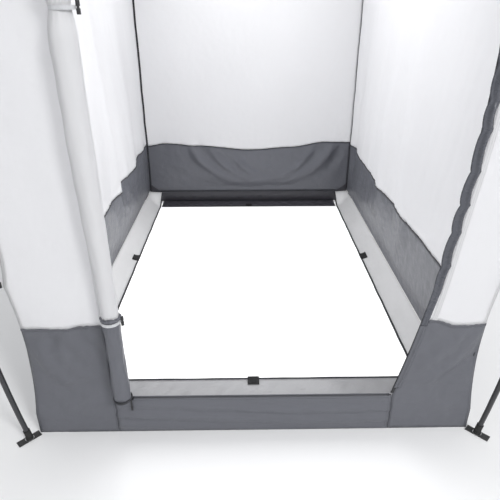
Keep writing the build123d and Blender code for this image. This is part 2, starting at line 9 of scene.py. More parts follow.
import bpy
import numpy as np
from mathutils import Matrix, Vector


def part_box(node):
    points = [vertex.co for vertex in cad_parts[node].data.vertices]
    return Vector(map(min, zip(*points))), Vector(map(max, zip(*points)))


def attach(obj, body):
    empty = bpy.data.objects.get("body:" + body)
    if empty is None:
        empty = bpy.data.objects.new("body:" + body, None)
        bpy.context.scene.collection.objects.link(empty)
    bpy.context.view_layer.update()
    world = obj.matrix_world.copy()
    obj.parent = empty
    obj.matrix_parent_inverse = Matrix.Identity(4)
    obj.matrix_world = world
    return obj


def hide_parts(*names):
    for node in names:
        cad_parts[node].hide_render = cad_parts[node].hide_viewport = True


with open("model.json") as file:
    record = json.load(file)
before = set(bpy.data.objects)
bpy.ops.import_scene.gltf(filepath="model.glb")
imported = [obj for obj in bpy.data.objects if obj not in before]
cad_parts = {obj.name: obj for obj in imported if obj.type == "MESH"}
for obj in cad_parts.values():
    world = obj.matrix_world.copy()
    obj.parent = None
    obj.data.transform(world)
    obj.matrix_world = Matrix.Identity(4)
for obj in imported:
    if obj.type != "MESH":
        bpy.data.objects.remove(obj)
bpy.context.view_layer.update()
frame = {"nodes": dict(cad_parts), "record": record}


# ---------------------------------------------------------------- measures, read from the CAD nodes

def low(node):
    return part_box(node)[0]


def high(node):
    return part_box(node)[1]


WALL_X = low("right_wall_band").x  # inner face of the side walls
WALL_Y = low("back_wall_band").y  # inner face of the front and back walls
WALL_TOP = high("back_wall_panel").z
BAND_TOP = high("left_wall_band").z
FLAP_SEAM = low("left_wall_band").z
EAVE_Z = high("eave_valance").z + 0.0028
PEAK_Z = high("roof_canopy").z
ROOF_X = high("roof_canopy").x
ROOF_Y = high("roof_canopy").y
ROOF_EDGE_X = ROOF_X - 0.0012  # middle of the valance's cloth
ROOF_EDGE_Y = ROOF_Y - 0.0012
VALANCE_Z = low("eave_valance").z
FRONT_Y = low("front_left_panel").y  # outer face of the front wall

DOOR_LEFT = high("front_left_band").x
DOOR_TOP = low("front_header").z
DOOR_SILL = (low("door_zip_sill").z + high("door_zip_sill").z) / 2
DOOR_CORNER_R = 0.210
ARC_TOP = high("door_zip_side").z
ARC_LOW_X = high("front_sill").x + 0.0004
ARC_BULGE_X = 0.560
ARC_BULGE_Z = 1.150

CLOTH = 0.0009  # thickness of one layer of cloth
CELL = 0.0125  # size of a cloth grid's cells
CLIP_HEIGHTS = (FLAP_SEAM, 0.560, 0.760, 1.150, 1.500, WALL_TOP)
CORNER_PULL = (0.014, 0.006, 0.009, 0.007, 0.004)  # how far the corner sags in between two clips
BACK_PULL = 0.35  # the back corners sag by this share of it

LEFT, RIGHT = -1, 1
FRONT, BACK = -1, 1
SIDES = {"left": LEFT, "right": RIGHT}
UP = np.array((0.0, 0.0, 1.0))
FORWARD = (0.0, -1.0, 0.0)  # the way that the door faces


# ---------------------------------------------------------------- small numeric helpers

def ease(x, start, end):
    """0 before start, 1 after end, and smooth between them."""
    t = np.clip((np.asarray(x, float) - start) / (end - start), 0, 1)
    return t * t * (3 - 2 * t)


def bell(x, centre, width):
    return np.exp(-(((np.asarray(x, float) - centre) / width) ** 2))


def wavy(x, *knots):
    """A smooth line through (position, value) knots, level at each of them."""
    x = np.asarray(x, float)
    value = np.full(x.shape, float(knots[0][1]))
    for (start, before), (end, after) in zip(knots, knots[1:]):
        value = value + (after - before) * ease(x, start, end)
    return value


def ripple(x, pitch, seed):
    """Uneven waves of about that pitch, between -1 and 1."""
    x = np.asarray(x, float)
    turns = 2 * math.pi * x / pitch
    first = np.sin(turns + 1.7 * seed)
    second = np.sin(turns * 0.618 + 2.9 * seed)
    third = np.sin(turns * 1.47 + 0.8 * seed)
    return (first + 0.8 * second + 0.5 * third) / 2.3


def drape(u, v, start, end, sag, depth, width):
    """A fold's height over a flat cloth: a ridge from start to end that hangs sag below the straight line."""
    ax, az = start
    length = math.hypot(end[0] - ax, end[1] - az)
    tx, tz = (end[0] - ax) / length, (end[1] - az) / length
    along = ((u - ax) * tx + (v - az) * tz) / length
    across = (v - az) * tx - (u - ax) * tz
    bow = sag * 4 * along * (1 - along)
    across = across + bow if tx > 0 else across - bow
    ends = ease(along, -0.15, 0.2) * (1 - ease(along, 0.8, 1.15))
    ridge = np.exp(-((across / width) ** 2)) - 0.6 * np.exp(-(((across - 1.7 * width) / width) ** 2))
    return depth * ends * ridge


def draped(u, v, folds, height=0.0):
    """The height of a cloth with the given folds: (start, end, sag, depth, width) of each."""
    for fold in folds:
        height = height + drape(u, v, *fold)
    return height


def spaced(start, end, step=CELL, breaks=()):
    """Grid lines from start to end, about step apart, with a line on each of the breaks."""
    stops = [start, *sorted(b for b in breaks if start < b < end), end]
    lines = []
    for a, b in zip(stops, stops[1:]):
        count = max(1, round((b - a) / step))
        lines.extend(np.linspace(a, b, count + 1)[:-1])
    return np.array([*lines, end])


def grid(*lines):
    """Coordinates at every crossing of two sets of grid lines."""
    return np.meshgrid(*lines, indexing="ij")


def stacked(*parts):
    """Coordinate arrays of any matching shapes, joined on a new last axis."""
    return np.stack(np.broadcast_arrays(*parts), axis=-1).astype(float)


# ---------------------------------------------------------------- meshes

def placed(name, data):
    """A new object in the scene with the given mesh, light or camera."""
    made = bpy.data.objects.new(name, data)
    bpy.context.scene.collection.objects.link(made)
    return made


def mesh_object(name, points, faces, uvs=None, hem=None):
    """A smooth mesh. uvs are flat cloth coordinates; hem is the distance from a hem and the one along it."""
    points = np.asarray(points, float).reshape(-1, 3)
    faces = np.asarray(faces, int)
    used, inverse = np.unique(faces, return_inverse=True)
    mesh = bpy.data.meshes.new(name)
    mesh.from_pydata(points[used].tolist(), [], inverse.reshape(faces.shape).tolist())
    corners = np.zeros(len(mesh.loops), np.int32)
    mesh.loops.foreach_get("vertex_index", corners)
    for layer, values in (("Flat", uvs), ("Hem", hem)):
        if values is not None:
            data = np.asarray(values, float).reshape(-1, 2)[used][corners]
            mesh.uv_layers.new(name=layer).data.foreach_set("uv", data.astype(np.float32).ravel())
    mesh.polygons.foreach_set("use_smooth", np.ones(len(mesh.polygons), bool))
    mesh.update()
    return placed(name, mesh)


def grid_faces(rows, columns, closed=False):
    index = np.arange(rows * columns).reshape(rows, columns)
    if closed:
        index = np.concatenate([index, index[:, :1]], axis=1)
    corners = (index[:-1, :-1], index[1:, :-1], index[1:, 1:], index[:-1, 1:])
    return np.stack(corners, axis=-1)


def thicken(piece, thickness=CLOTH, offset=0.0):
    layer = piece.modifiers.new("Thickness", "SOLIDIFY")
    layer.thickness = thickness
    layer.offset = offset
    return piece


def cloth(name, points, flat, keep=None, hem=None, thickness=CLOTH):
    """A sheet from arrays of points and flat coordinates of shape (n, m, 3) and (n, m, 2)."""
    faces = grid_faces(*points.shape[:2])
    if keep is not None:
        faces = faces[keep]
    faces = faces.reshape(-1, 4)
    if hem is None:
        u, v = flat[..., 0], flat[..., 1]
        sides = np.minimum(u - u.min(), u.max() - u)
        ends = np.minimum(v - v.min(), v.max() - v)
        hem = stacked(np.minimum(sides, ends), np.where(sides < ends, v, u))
    return thicken(mesh_object(name, points, faces, flat, hem), thickness)


def directions(path):
    """Unit tangents along a path of points."""
    along = np.gradient(path, axis=0)
    return along / np.linalg.norm(along, axis=1, keepdims=True)


def lengths_along(path):
    """The distance travelled at each point of a path."""
    return np.concatenate([[0], np.cumsum(np.linalg.norm(np.diff(path, axis=0), axis=1))])


def band(name, path, up, half_width, half_thick, sides=10, squareness=3.0, turn_in=True):
    """A closed strip or cord swept along a path: a rounded section, flat where it is wide and thin."""
    path = np.asarray(path, float)
    along = directions(path)
    up = np.broadcast_to(np.asarray(up, float), path.shape)
    across = np.cross(along, up)
    across /= np.linalg.norm(across, axis=1, keepdims=True)
    normal = np.cross(across, along)
    angle = np.linspace(0, 2 * math.pi, sides, endpoint=False)
    power = 2 / squareness
    wide = np.sign(np.cos(angle)) * np.abs(np.cos(angle)) ** power
    tall = np.sign(np.sin(angle)) * np.abs(np.sin(angle)) ** power
    widths = np.broadcast_to(half_width, (len(path),))[:, None, None]
    ring = across[:, None] * wide[None, :, None] * widths + normal[:, None] * tall[None, :, None] * half_thick
    points = path[:, None] + ring
    travelled = lengths_along(path)
    flat = stacked(travelled[:, None], wide[None, :] * float(np.max(half_width)))
    hem = stacked((1 - np.abs(wide[None, :])) * float(np.max(half_width)), travelled[:, None])
    faces = grid_faces(len(path), sides, closed=True).reshape(-1, 4)
    made = mesh_object(name, points, faces, flat, hem)
    if turn_in:
        close_ends(made, len(path), sides)
    return made


def close_ends(piece, rows, sides):
    """Caps both ends of a swept strip."""
    count = rows * sides
    loops = [list(range(sides))[::-1], list(range(count - sides, count))]
    mesh = piece.data
    points = [tuple(v.co) for v in mesh.vertices]
    faces = [tuple(p.vertices) for p in mesh.polygons] + loops
    layers = {}
    for layer in mesh.uv_layers:
        values = np.zeros(len(mesh.loops) * 2, np.float32)
        layer.data.foreach_get("uv", values)
        layers[layer.name] = np.concatenate([values, np.zeros(4 * sides, np.float32)])
    capped = bpy.data.meshes.new(mesh.name)
    capped.from_pydata(points, [], faces)
    for name, values in layers.items():
        capped.uv_layers.new(name=name).data.foreach_set("uv", values)
    capped.polygons.foreach_set("use_smooth", np.ones(len(capped.polygons), bool))
    piece.data = capped


def joined(name, *pieces):
    """Several objects made into one."""
    bpy.ops.object.select_all(action="DESELECT")
    for piece in pieces:
        piece.select_set(True)
    bpy.context.view_layer.objects.active = pieces[0]
    bpy.ops.object.join()
    pieces[0].name = name
    return pieces[0]


# ---------------------------------------------------------------- cloth simulation

SETTLE_FRAMES = 22
SETTLE_CAP = 0.020  # no point moves further than this from where it started


def settle(points, pinned, growth, freedom, stiffness=12.0, bending=0.4, seed=1):
    """Where a slack cloth grid comes to rest. freedom is the share of each point's move that is kept."""
    rows, columns = points.shape[:2]
    rng = np.random.default_rng(seed)
    start = points + rng.normal(0, 0.0004, points.shape) * ~pinned[..., None]
    piece = mesh_object("settling", start, grid_faces(rows, columns).reshape(-1, 4))
    held = piece.vertex_groups.new(name="held")
    held.add(np.flatnonzero(pinned.ravel()).tolist(), 1.0, "REPLACE")
    modifier = piece.modifiers.new("Settle", "CLOTH")
    settings = modifier.settings
    settings.quality = 6
    settings.mass = 0.02
    settings.tension_stiffness = stiffness
    settings.compression_stiffness = stiffness
    settings.shear_stiffness = stiffness / 3
    settings.bending_stiffness = bending
    settings.tension_damping = 8
    settings.compression_damping = 8
    settings.shear_damping = 8
    settings.bending_damping = 1
    settings.air_damping = 4
    settings.vertex_group_mass = "held"
    settings.shrink_min = -growth
    modifier.collision_settings.use_collision = False
    scene = bpy.context.scene
    for number in range(1, SETTLE_FRAMES + 1):
        scene.frame_set(number)
    evaluated = piece.evaluated_get(bpy.context.evaluated_depsgraph_get())
    settled = np.zeros(rows * columns * 3, np.float32)
    evaluated.data.vertices.foreach_get("co", settled)
    scene.frame_set(1)
    bpy.data.objects.remove(piece)
    move = settled.reshape(points.shape).astype(float) - points
    length = np.linalg.norm(move, axis=-1, keepdims=True)
    return points + move * freedom[..., None] * np.minimum(1, SETTLE_CAP / np.maximum(length, 1e-9))


def edges_of(shape):
    """A mask of a grid's outer edges, two lines deep at its sides."""
    mask = np.zeros(shape, bool)
    mask[[0, 1, -2, -1], :] = True
    mask[:, [0, -1]] = True
    return mask


def band_freedom(z):
    """The dark band hangs freely; the light cloth above it is drawn tighter by the poles."""
    return 1 - 0.7 * ease(z, BAND_TOP, BAND_TOP + 0.12)


# ---------------------------------------------------------------- materials

def number(tree, operation, *values):
    """A Math node's output. Each value is a number or another node's output."""
    node = tree.nodes.new("ShaderNodeMath")
    node.operation = operation
    for socket, value in zip(node.inputs, values):
        if isinstance(value, (int, float)):
            socket.default_value = value
        else:
            tree.links.new(value, socket)
    return node.outputs[0]


def noise(tree, vector, scale, detail=2.0, stretch=(1, 1, 1)):
    """Noise between 0 and 1 over a vector in metres. scale is features per metre."""
    mapping = tree.nodes.new("ShaderNodeMapping")
    mapping.inputs["Scale"].default_value = stretch
    tree.links.new(vector, mapping.inputs["Vector"])
    node = tree.nodes.new("ShaderNodeTexNoise")
    node.inputs["Scale"].default_value = scale
    node.inputs["Detail"].default_value = detail
    tree.links.new(mapping.outputs[0], node.inputs["Vector"])
    return node.outputs["Fac"]


def layer_xy(tree, layer):
    """The two coordinates of a UV layer, and its vector."""
    source = tree.nodes.new("ShaderNodeUVMap")
    source.uv_map = layer
    split = tree.nodes.new("ShaderNodeSeparateXYZ")
    tree.links.new(source.outputs[0], split.inputs[0])
    return split.outputs[0], split.outputs[1], source.outputs[0]


def weave(tree, u, v, pitch):
    """A plain weave: threads that pass over and under each other."""
    turns = 2 * math.pi / pitch
    across = number(tree, "SINE", number(tree, "MULTIPLY", u, turns))
    along = number(tree, "SINE", number(tree, "MULTIPLY", v, turns))
    return number(tree, "MULTIPLY", across, along)


def stitches(tree, rows, thread=0.0005, pitch=0.0034):
    """1 on the stitches of each row, which lie that far inside the hem."""
    distance, along, _ = layer_xy(tree, "Hem")
    on_rows = None
    for row in rows:
        here = number(tree, "COMPARE", distance, row, thread)
        on_rows = here if on_rows is None else number(tree, "ADD", on_rows, here)
    place = number(tree, "FRACT", number(tree, "DIVIDE", along, pitch))
    dash = number(tree, "COMPARE", place, 0.5, 0.36)
    return number(tree, "MULTIPLY", on_rows, dash)


def colour_mix(tree, share, first, second):
    node = tree.nodes.new("ShaderNodeMix")
    node.data_type = "RGBA"
    tree.links.new(share, node.inputs[0])
    for socket, value in ((node.inputs[6], first), (node.inputs[7], second)):
        if isinstance(value, bpy.types.NodeSocket):
            tree.links.new(value, socket)
        else:
            socket.default_value = (*value, 1)
    return node.outputs[2]


def scaled(colour, factor):
    return tuple(min(1.0, c * factor) for c in colour)


def speckled(tree, vector, scale, colour, dark, light):
    """A colour that drifts between a darker and a lighter tone."""
    return colour_mix(tree, noise(tree, vector, scale), scaled(colour, dark), scaled(colour, light))


def bump(tree, height, distance, previous=None):
    node = tree.nodes.new("ShaderNodeBump")
    node.inputs["Strength"].default_value = 1.0
    node.inputs["Distance"].default_value = distance
    tree.links.new(height, node.inputs["Height"])
    if previous is not None:
        tree.links.new(previous, node.inputs["Normal"])
    return node.outputs[0]


def blend_shaders(tree, first, second, share):
    """Makes the material a mix of two shaders, with the given share of the second."""
    blend = tree.nodes.new("ShaderNodeMixShader")
    blend.inputs[0].default_value = share
    tree.links.new(first.outputs[0], blend.inputs[1])
    tree.links.new(second.outputs[0], blend.inputs[2])
    tree.links.new(blend.outputs[0], tree.nodes["Material Output"].inputs["Surface"])


def principled(name):
    material = bpy.data.materials.new(name)
    material.use_nodes = True
    shader = material.node_tree.nodes["Principled BSDF"]
    return material, material.node_tree, shader


def fabric(name, colour, rough=0.55, sheen=0.0, through=0.0, crinkle=0.0008, weave_pitch=0.0008,
           stitch_rows=(0.0025, 0.008), variation=0.06, stitch_tone=0.7, specular=0.5):
    """Coated woven cloth with soft crinkles and stitched hems. through is the share of light that passes."""
    material, tree, shader = principled(name)
    u, v, flat = layer_xy(tree, "Flat")
    cloudy = noise(tree, flat, 3.5, 3)
    mottled = noise(tree, flat, 45, 2)
    tone = number(tree, "ADD", number(tree, "MULTIPLY", cloudy, 0.7), number(tree, "MULTIPLY", mottled, 0.3))
    base = colour_mix(tree, tone, scaled(colour, 1 - variation), scaled(colour, 1 + variation))
    sewn = stitches(tree, stitch_rows)
    base = colour_mix(tree, sewn, base, scaled(colour, stitch_tone))
    tree.links.new(base, shader.inputs["Base Color"])
    shader.inputs["Specular IOR Level"].default_value = specular
    shader.inputs["Sheen Weight"].default_value = sheen
    gloss = number(tree, "MULTIPLY_ADD", mottled, 0.16, rough - 0.08)
    tree.links.new(gloss, shader.inputs["Roughness"])
    folds = noise(tree, flat, 9, 3)
    creases = noise(tree, flat, 34, 4, (1, 1.6, 1))
    height = bump(tree, folds, 3 * crinkle)
    height = bump(tree, creases, crinkle, height)
    height = bump(tree, weave(tree, u, v, weave_pitch), 0.00004, height)
    height = bump(tree, sewn, 0.0004, height)
    tree.links.new(height, shader.inputs["Normal"])
    if through:
        glow = tree.nodes.new("ShaderNodeBsdfTranslucent")
        tree.links.new(base, glow.inputs["Color"])
        tree.links.new(height, glow.inputs["Normal"])
        blend_shaders(tree, shader, glow, through)
    return material


def netting(name, colour, pitch, open_share):
    """Fine mesh: threads with see-through holes between them."""
    material, tree, shader = principled(name)
    u, v, flat = layer_xy(tree, "Flat")
    base = speckled(tree, flat, 30, colour, 0.9, 1.15)
    tree.links.new(base, shader.inputs["Base Color"])
    shader.inputs["Roughness"].default_value = 0.6
    height = bump(tree, weave(tree, u, v, pitch), 0.0002)
    tree.links.new(height, shader.inputs["Normal"])
    blend_shaders(tree, shader, tree.nodes.new("ShaderNodeBsdfTransparent"), open_share)
    return material


def object_vector(tree):
    return tree.nodes.new("ShaderNodeTexCoord").outputs["Object"]


def hard(name, colour, rough, metallic=0.0, grain=400, grain_depth=0.00005, wear=None, coat=0.0):
    """A moulded or metal surface with fine grain, uneven gloss and, if given, a worn tone."""
    material, tree, shader = principled(name)
    place = object_vector(tree)
    cloudy = noise(tree, place, 22, 3)
    fine = noise(tree, place, grain, 2)
    base = colour_mix(tree, cloudy, scaled(colour, 0.88), scaled(colour, 1.12))
    if wear is not None:
        rubbed = number(tree, "GREATER_THAN", noise(tree, place, 160, 4), 0.68)
        base = colour_mix(tree, rubbed, base, wear)
    tree.links.new(base, shader.inputs["Base Color"])
    shader.inputs["Metallic"].default_value = metallic
    shader.inputs["Coat Weight"].default_value = coat
    gloss = number(tree, "MULTIPLY_ADD", cloudy, 0.2, rough - 0.1)
    tree.links.new(gloss, shader.inputs["Roughness"])
    tree.links.new(bump(tree, fine, grain_depth), shader.inputs["Normal"])
    return material


def woven_hard(name, colour, pitch, depth, rough=0.75):
    """Webbing, elastic or hook tape on a CAD node, which has no cloth coordinates of its own."""
    material, tree, shader = principled(name)
    place = object_vector(tree)
    split = tree.nodes.new("ShaderNodeSeparateXYZ")
    tree.links.new(place, split.inputs[0])
    x, y, z = split.outputs
    slant = number(tree, "ADD", number(tree, "ADD", x, y), z)
    cross = number(tree, "SUBTRACT", number(tree, "SUBTRACT", x, y), z)
    threads = weave(tree, slant, cross, pitch)
    base = speckled(tree, place, 90, colour, 0.8, 1.25)
    tree.links.new(base, shader.inputs["Base Color"])
    shader.inputs["Roughness"].default_value = rough
    shader.inputs["Sheen Weight"].default_value = 0.15
    tree.links.new(bump(tree, threads, depth), shader.inputs["Normal"])
    return material


def pile(name, colour):
    """Hook and loop tape: a dense field of tiny hooks."""
    material, tree, shader = principled(name)
    flat = layer_xy(tree, "Flat")[2]
    hooks = tree.nodes.new("ShaderNodeTexVoronoi")
    hooks.inputs["Scale"].default_value = 700
    tree.links.new(flat, hooks.inputs["Vector"])
    base = colour_mix(tree, hooks.outputs["Distance"], scaled(colour, 1.4), scaled(colour, 0.7))
    tree.links.new(base, shader.inputs["Base Color"])
    shader.inputs["Roughness"].default_value = 0.85
    tree.links.new(bump(tree, hooks.outputs["Distance"], 0.0006), shader.inputs["Normal"])
    return material


MATERIALS = {
    "light_cloth": fabric("light_cloth", (0.86, 0.86, 0.872), rough=0.5, through=0.42, crinkle=0.0005,
                          variation=0.015, stitch_tone=0.82),
    "band_cloth": fabric("band_cloth", (0.122, 0.126, 0.144), rough=0.34, specular=0.35, crinkle=0.0014,
                         variation=0.05, stitch_tone=0.6),
    "dark_sill_cloth": fabric("dark_sill_cloth", (0.046, 0.045, 0.054), rough=0.34, crinkle=0.0022),
    # Painted shade: the front flap is the side flaps' light-grey cloth, given a darker grey for the shade it
    # takes lying flat on the ground with no light coming through it.
    "flap_cloth": fabric("flap_cloth", (0.38, 0.38, 0.39), rough=0.42, crinkle=0.0022, variation=0.08),
    "side_flap_cloth": fabric("side_flap_cloth", (0.72, 0.72, 0.725), rough=0.34, through=0.2,
                              crinkle=0.0016, variation=0.07, stitch_tone=0.8),
    "binding_tape": fabric("binding_tape", (0.022, 0.023, 0.028), rough=0.6, crinkle=0.0004,
                           weave_pitch=0.0011, stitch_rows=(0.0022,)),
    "hook_tape": pile("hook_tape", (0.010, 0.010, 0.011)),
    "zip_coil": hard("zip_coil", (0.018, 0.018, 0.020), 0.4, grain=900),
    "zip_metal": hard("zip_metal", (0.035, 0.035, 0.038), 0.35, metallic=0.7, wear=(0.22, 0.22, 0.22)),
    "moulded_black": hard("moulded_black", (0.022, 0.022, 0.024), 0.45, grain=700, grain_depth=0.0001),
    "tie_elastic": woven_hard("tie_elastic", (0.66, 0.67, 0.69), 0.0018, 0.0003),
    "mesh": netting("mesh", (0.045, 0.045, 0.05), 0.0014, 0.42),
    "pole_steel": hard("pole_steel", (0.030, 0.030, 0.034), 0.34, metallic=0.2, grain=1200, coat=0.3),
    "rod_fibreglass": hard("rod_fibreglass", (0.026, 0.026, 0.030), 0.5, grain=600),
    "foot_rubber": hard("foot_rubber", (0.018, 0.018, 0.018), 0.75, grain=500, grain_depth=0.0002),
    "plate_steel": hard("plate_steel", (0.52, 0.52, 0.53), 0.3, metallic=1.0, grain=900),
    "webbing": woven_hard("webbing", (0.016, 0.016, 0.018), 0.0026, 0.0005),
}

# the storm flap's own look, in the binding tape's slot
SATIN = fabric("satin_strip", (0.072, 0.076, 0.092), rough=0.27, crinkle=0.0036, variation=0.2,
               stitch_rows=(0.0022,), stitch_tone=0.5)


def dress(piece, slot, body="root", stands_for=()):
    """Gives a new piece its material, its body and the CAD nodes that it stands for."""
    piece.data.materials.clear()
    piece.data.materials.append(MATERIALS[slot])
    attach(piece, body)
    if stands_for:
        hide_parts(*stands_for)
    return piece


def finish_cad_nodes():
    """Every CAD node keeps its shape and takes the material of its slot."""
    slots = {part["node"]: part["material_slot"] for part in frame["record"]["subparts"]}
    for name, node in frame["nodes"].items():
        node.data.materials.clear()
        node.data.materials.append(MATERIALS[slots[name]])


def sheet(piece):
    return piece


def sewn(name, points, flat, slot, stands_for=(), body="root", **shape):
    """A cloth with its material, its body and the CAD nodes that it stands for."""
    return dress(cloth(name, points, flat, **shape), slot, body, stands_for)


def strip(name, path, up, half_width, half_thick, slot, stands_for=(), body="root", **shape):
    """A tape or cord along a path with its material, its body and the CAD nodes that it stands for."""
    return dress(band(name, path, up, half_width, half_thick, **shape), slot, body, stands_for)


def span(line):
    """The length that a pair or a row of values covers."""
    return float(line[-1] - line[0])


# ---------------------------------------------------------------- cabin walls

def corner_pull(z):
    """How far a cabin corner is drawn in at height z, between the clips that hold it out."""
    z = np.asarray(z, float)
    pull = np.zeros(z.shape)
    for start, end, depth in zip(CLIP_HEIGHTS, CLIP_HEIGHTS[1:], CORNER_PULL):
        t = np.clip((z - start) / (end - start), 0, 1)
        pull = pull + depth * 4 * t * (1 - t)
    return pull


def slack(z, low_z):
    """How freely a wall hangs at height z: tight at its bottom seam and under the eaves."""
    return ease(z, low_z, 0.34) * (1 - 0.72 * ease(z, 0.5, 1.5)) * (1 - ease(z, 1.5, WALL_TOP))


# (place along the wall, depth, width) of the folds that stand in from each side wall
SIDE_BOW = {"left": 0.034, "right": 0.028}
SIDE_FOLDS = {
    "left": (
        (0.76, -0.026, 0.08), (0.54, 0.013, 0.08), (0.255, -0.027, 0.075), (0.10, 0.022, 0.06),
        (-0.20, 0.015, 0.12), (-0.50, -0.014, 0.12), (-0.78, 0.010, 0.10),
    ),
    "right": (
        (0.93, -0.029, 0.07), (0.597, -0.006, 0.06), (0.411, -0.011, 0.05), (0.175, 0.020, 0.07),
        (-0.085, -0.010, 0.05), (-0.25, 0.014, 0.07), (-0.48, -0.008, 0.09), (-0.76, 0.009, 0.09),
    ),
}


def side_wall_points(name, y, z):
    """Points of a side wall for flat coordinates y and z."""
    side = SIDES[name]
    share = y / WALL_Y
    pull = corner_pull(z) * np.where(y > 0, BACK_PULL, 1.0)
    inward = SIDE_BOW[name] * (1 - share**2)
    for centre, depth, width in SIDE_FOLDS[name]:
        lean = 0.10 * (z - BAND_TOP)
        spread = width * (1 + 0.5 * ease(z, 0.5, 1.4))
        inward = inward + depth * bell(y + lean * np.sign(centre), centre, spread)
    inward = inward * slack(z, FLAP_SEAM) + 0.0012 * ripple(y + 0.3 * z, 0.09, side) * slack(z, FLAP_SEAM)
    x = side * (WALL_X - pull * share**2 - inward)
    return stacked(x, y * (1 - pull / WALL_Y), z)


BACK_FOLDS = (
    ((-0.391, 0.389), (-0.019, 0.098), 0.041, 0.028, 0.035),
    ((-0.250, 0.360), (0.080, 0.125), 0.030, 0.020, 0.030),
    ((-0.080, 0.330), (0.210, 0.110), 0.034, 0.020, 0.032),
    ((0.590, 0.395), (0.300, 0.130), 0.034, 0.023, 0.041),
    ((0.430, 0.370), (0.160, 0.150), 0.024, 0.015, 0.030),
)


def back_wall_points(x, z):
    """Points of the back wall for flat coordinates x and z."""
    share = x / WALL_X
    pull = corner_pull(z) * BACK_PULL
    loose = slack(z, low("back_sill").z + 0.075)
    rise = wavy(x, (-0.70, -0.012), (-0.57, 0.007), (-0.33, -0.008), (0.01, -0.034), (0.285, -0.018),
                (0.524, 0.015), (0.70, 0.010))
    rise = rise * ease(z, 0.09, BAND_TOP) * (1 - ease(z, BAND_TOP, 1.3))
    inward = 0.015 * (1 - share**2)
    inward = draped(x, z, BACK_FOLDS, inward)
    inward = inward + 0.004 * ripple(x, 0.34, 2) * ease(z, 0.5, 0.9)
    y = WALL_Y - pull * share**2 - inward * loose
    return stacked(x * (1 - pull / WALL_X), y, z + rise)


def in_hole(lines_u, lines_v, hole_u, hole_v):
    """A mask of the grid cells inside a rectangular hole."""
    u = (lines_u[:-1] + lines_u[1:]) / 2
    v = (lines_v[:-1] + lines_v[1:]) / 2
    inside_u = (u > hole_u[0]) & (u < hole_u[1])
    inside_v = (v > hole_v[0]) & (v < hole_v[1])
    return inside_u[:, None] & inside_v[None, :]


def hole_hem(u, v, hole_u, hole_v, along_u, along_v):
    """Distance from the nearest edge of the cloth, the hole's own edges among them, and distance along it."""
    gap_u = np.maximum(hole_u[0] - u, u - hole_u[1])
    gap_v = np.maximum(hole_v[0] - v, v - hole_v[1])
    hole = np.maximum(gap_u, gap_v)
    sides = np.minimum(u - along_u[0], along_u[1] - u)
    ends = np.minimum(v - along_v[0], along_v[1] - v)
    nearest = np.minimum(np.minimum(sides, ends), np.where(hole >= 0, hole, 9.0))
    runs_along_v = (nearest == sides) | (nearest == gap_u)
    return stacked(nearest, np.where(runs_along_v, v, u))


def wall_with_hole(points_at, lines_u, lines_v, hole_u, hole_v, seed):
    """A settled wall: its points and flat coordinates, and which of its cells lie in the hole."""
    u, v = grid(lines_u, lines_v)
    points = points_at(u, v)
    held = edges_of(u.shape)
    around_u = (u >= hole_u[0] - 1e-6) & (u <= hole_u[1] + 1e-6)
    around_v = (v >= hole_v[0] - 1e-6) & (v <= hole_v[1] + 1e-6)
    held |= around_u & around_v
    points = settle(points, held, 0.0025, band_freedom(v), seed=seed)
    return points, stacked(u, v), in_hole(lines_u, lines_v, hole_u, hole_v)


def split_wall(name, node, points, flat, hole, lines_v, hole_u, hole_v):
    """The dark band and the light panel of one wall, parted at the seam."""
    row = int(np.argmin(np.abs(lines_v - BAND_TOP)))
    lower, width = slice(0, row + 1), span(flat[:, 0, 0])
    piece = sewn(f"{name}_band_cloth", points[:, lower], flat[:, lower], "band_cloth", [f"{node}_band"])
    sheet(piece)
    top_flat = flat[:, row:]
    u, v = top_flat[..., 0], top_flat[..., 1]
    hem = hole_hem(u, v, hole_u, hole_v, (u.min(), u.max()), (v.min(), v.max()))
    piece = sewn(f"{name}_panel_cloth", points[:, row:], top_flat, "light_cloth", [f"{node}_panel"],
                 keep=~hole[:, row:], hem=hem)
    sheet(piece)
    return row


def seam_piping(name, points, row, inward):
    """A dark corded seam along the top of the band, on the inner face of the wall."""
    path = points[:, row] + np.asarray(inward) * (CLOTH / 2 + 0.0012)
    return strip(name, path, inward, 0.0026, 0.0016, "binding_tape", sides=8, squareness=2.2)


def mesh_window(name, points, flat, hole, stands_for):
    piece = sewn(name, points, flat, "mesh", stands_for, keep=hole, thickness=0.0005)
    return sheet(piece)


WINDOW_U = (-0.330, 0.330)
WINDOW_V = (1.330, 1.660)
VENT_U = (-0.240, 0.240)
VENT_V = (1.520, 1.670)


def side_walls():
    lines_y = spaced(-WALL_Y, WALL_Y, breaks=WINDOW_U)
    lines_z = spaced(FLAP_SEAM, WALL_TOP, breaks=(BAND_TOP, *WINDOW_V))
    for name, side in SIDES.items():
        points, flat, hole = wall_with_hole(
            lambda y, z: side_wall_points(name, y, z), lines_y, lines_z, WINDOW_U, WINDOW_V, 3 + side
        )
        wall, seam = f"{name}_wall", f"{name}_band_piping"
        row = split_wall(wall, wall, points, flat, hole, lines_z, WINDOW_U, WINDOW_V)
        seam_piping(seam, points, row, (-side, 0, 0))
        stands_for = ["side_window_meshes"] if side == LEFT else []
        mesh_window(f"{name}_window_mesh", points, flat, hole, stands_for)


def back_wall():
    low_z = low("back_wall_band").z
    lines_x = spaced(-WALL_X, WALL_X, breaks=VENT_U)
    lines_z = spaced(low_z, WALL_TOP, breaks=(BAND_TOP, *VENT_V))
    points, flat, hole = wall_with_hole(back_wall_points, lines_x, lines_z, VENT_U, VENT_V, 9)
    row = split_wall("back", "back_wall", points, flat, hole, lines_z, VENT_U, VENT_V)
    seam_piping("back_band_piping", points, row, FORWARD)
    mesh_window("vent_mesh", points, flat, hole, ["back_vent_mesh"])
    back_gussets(low_z)


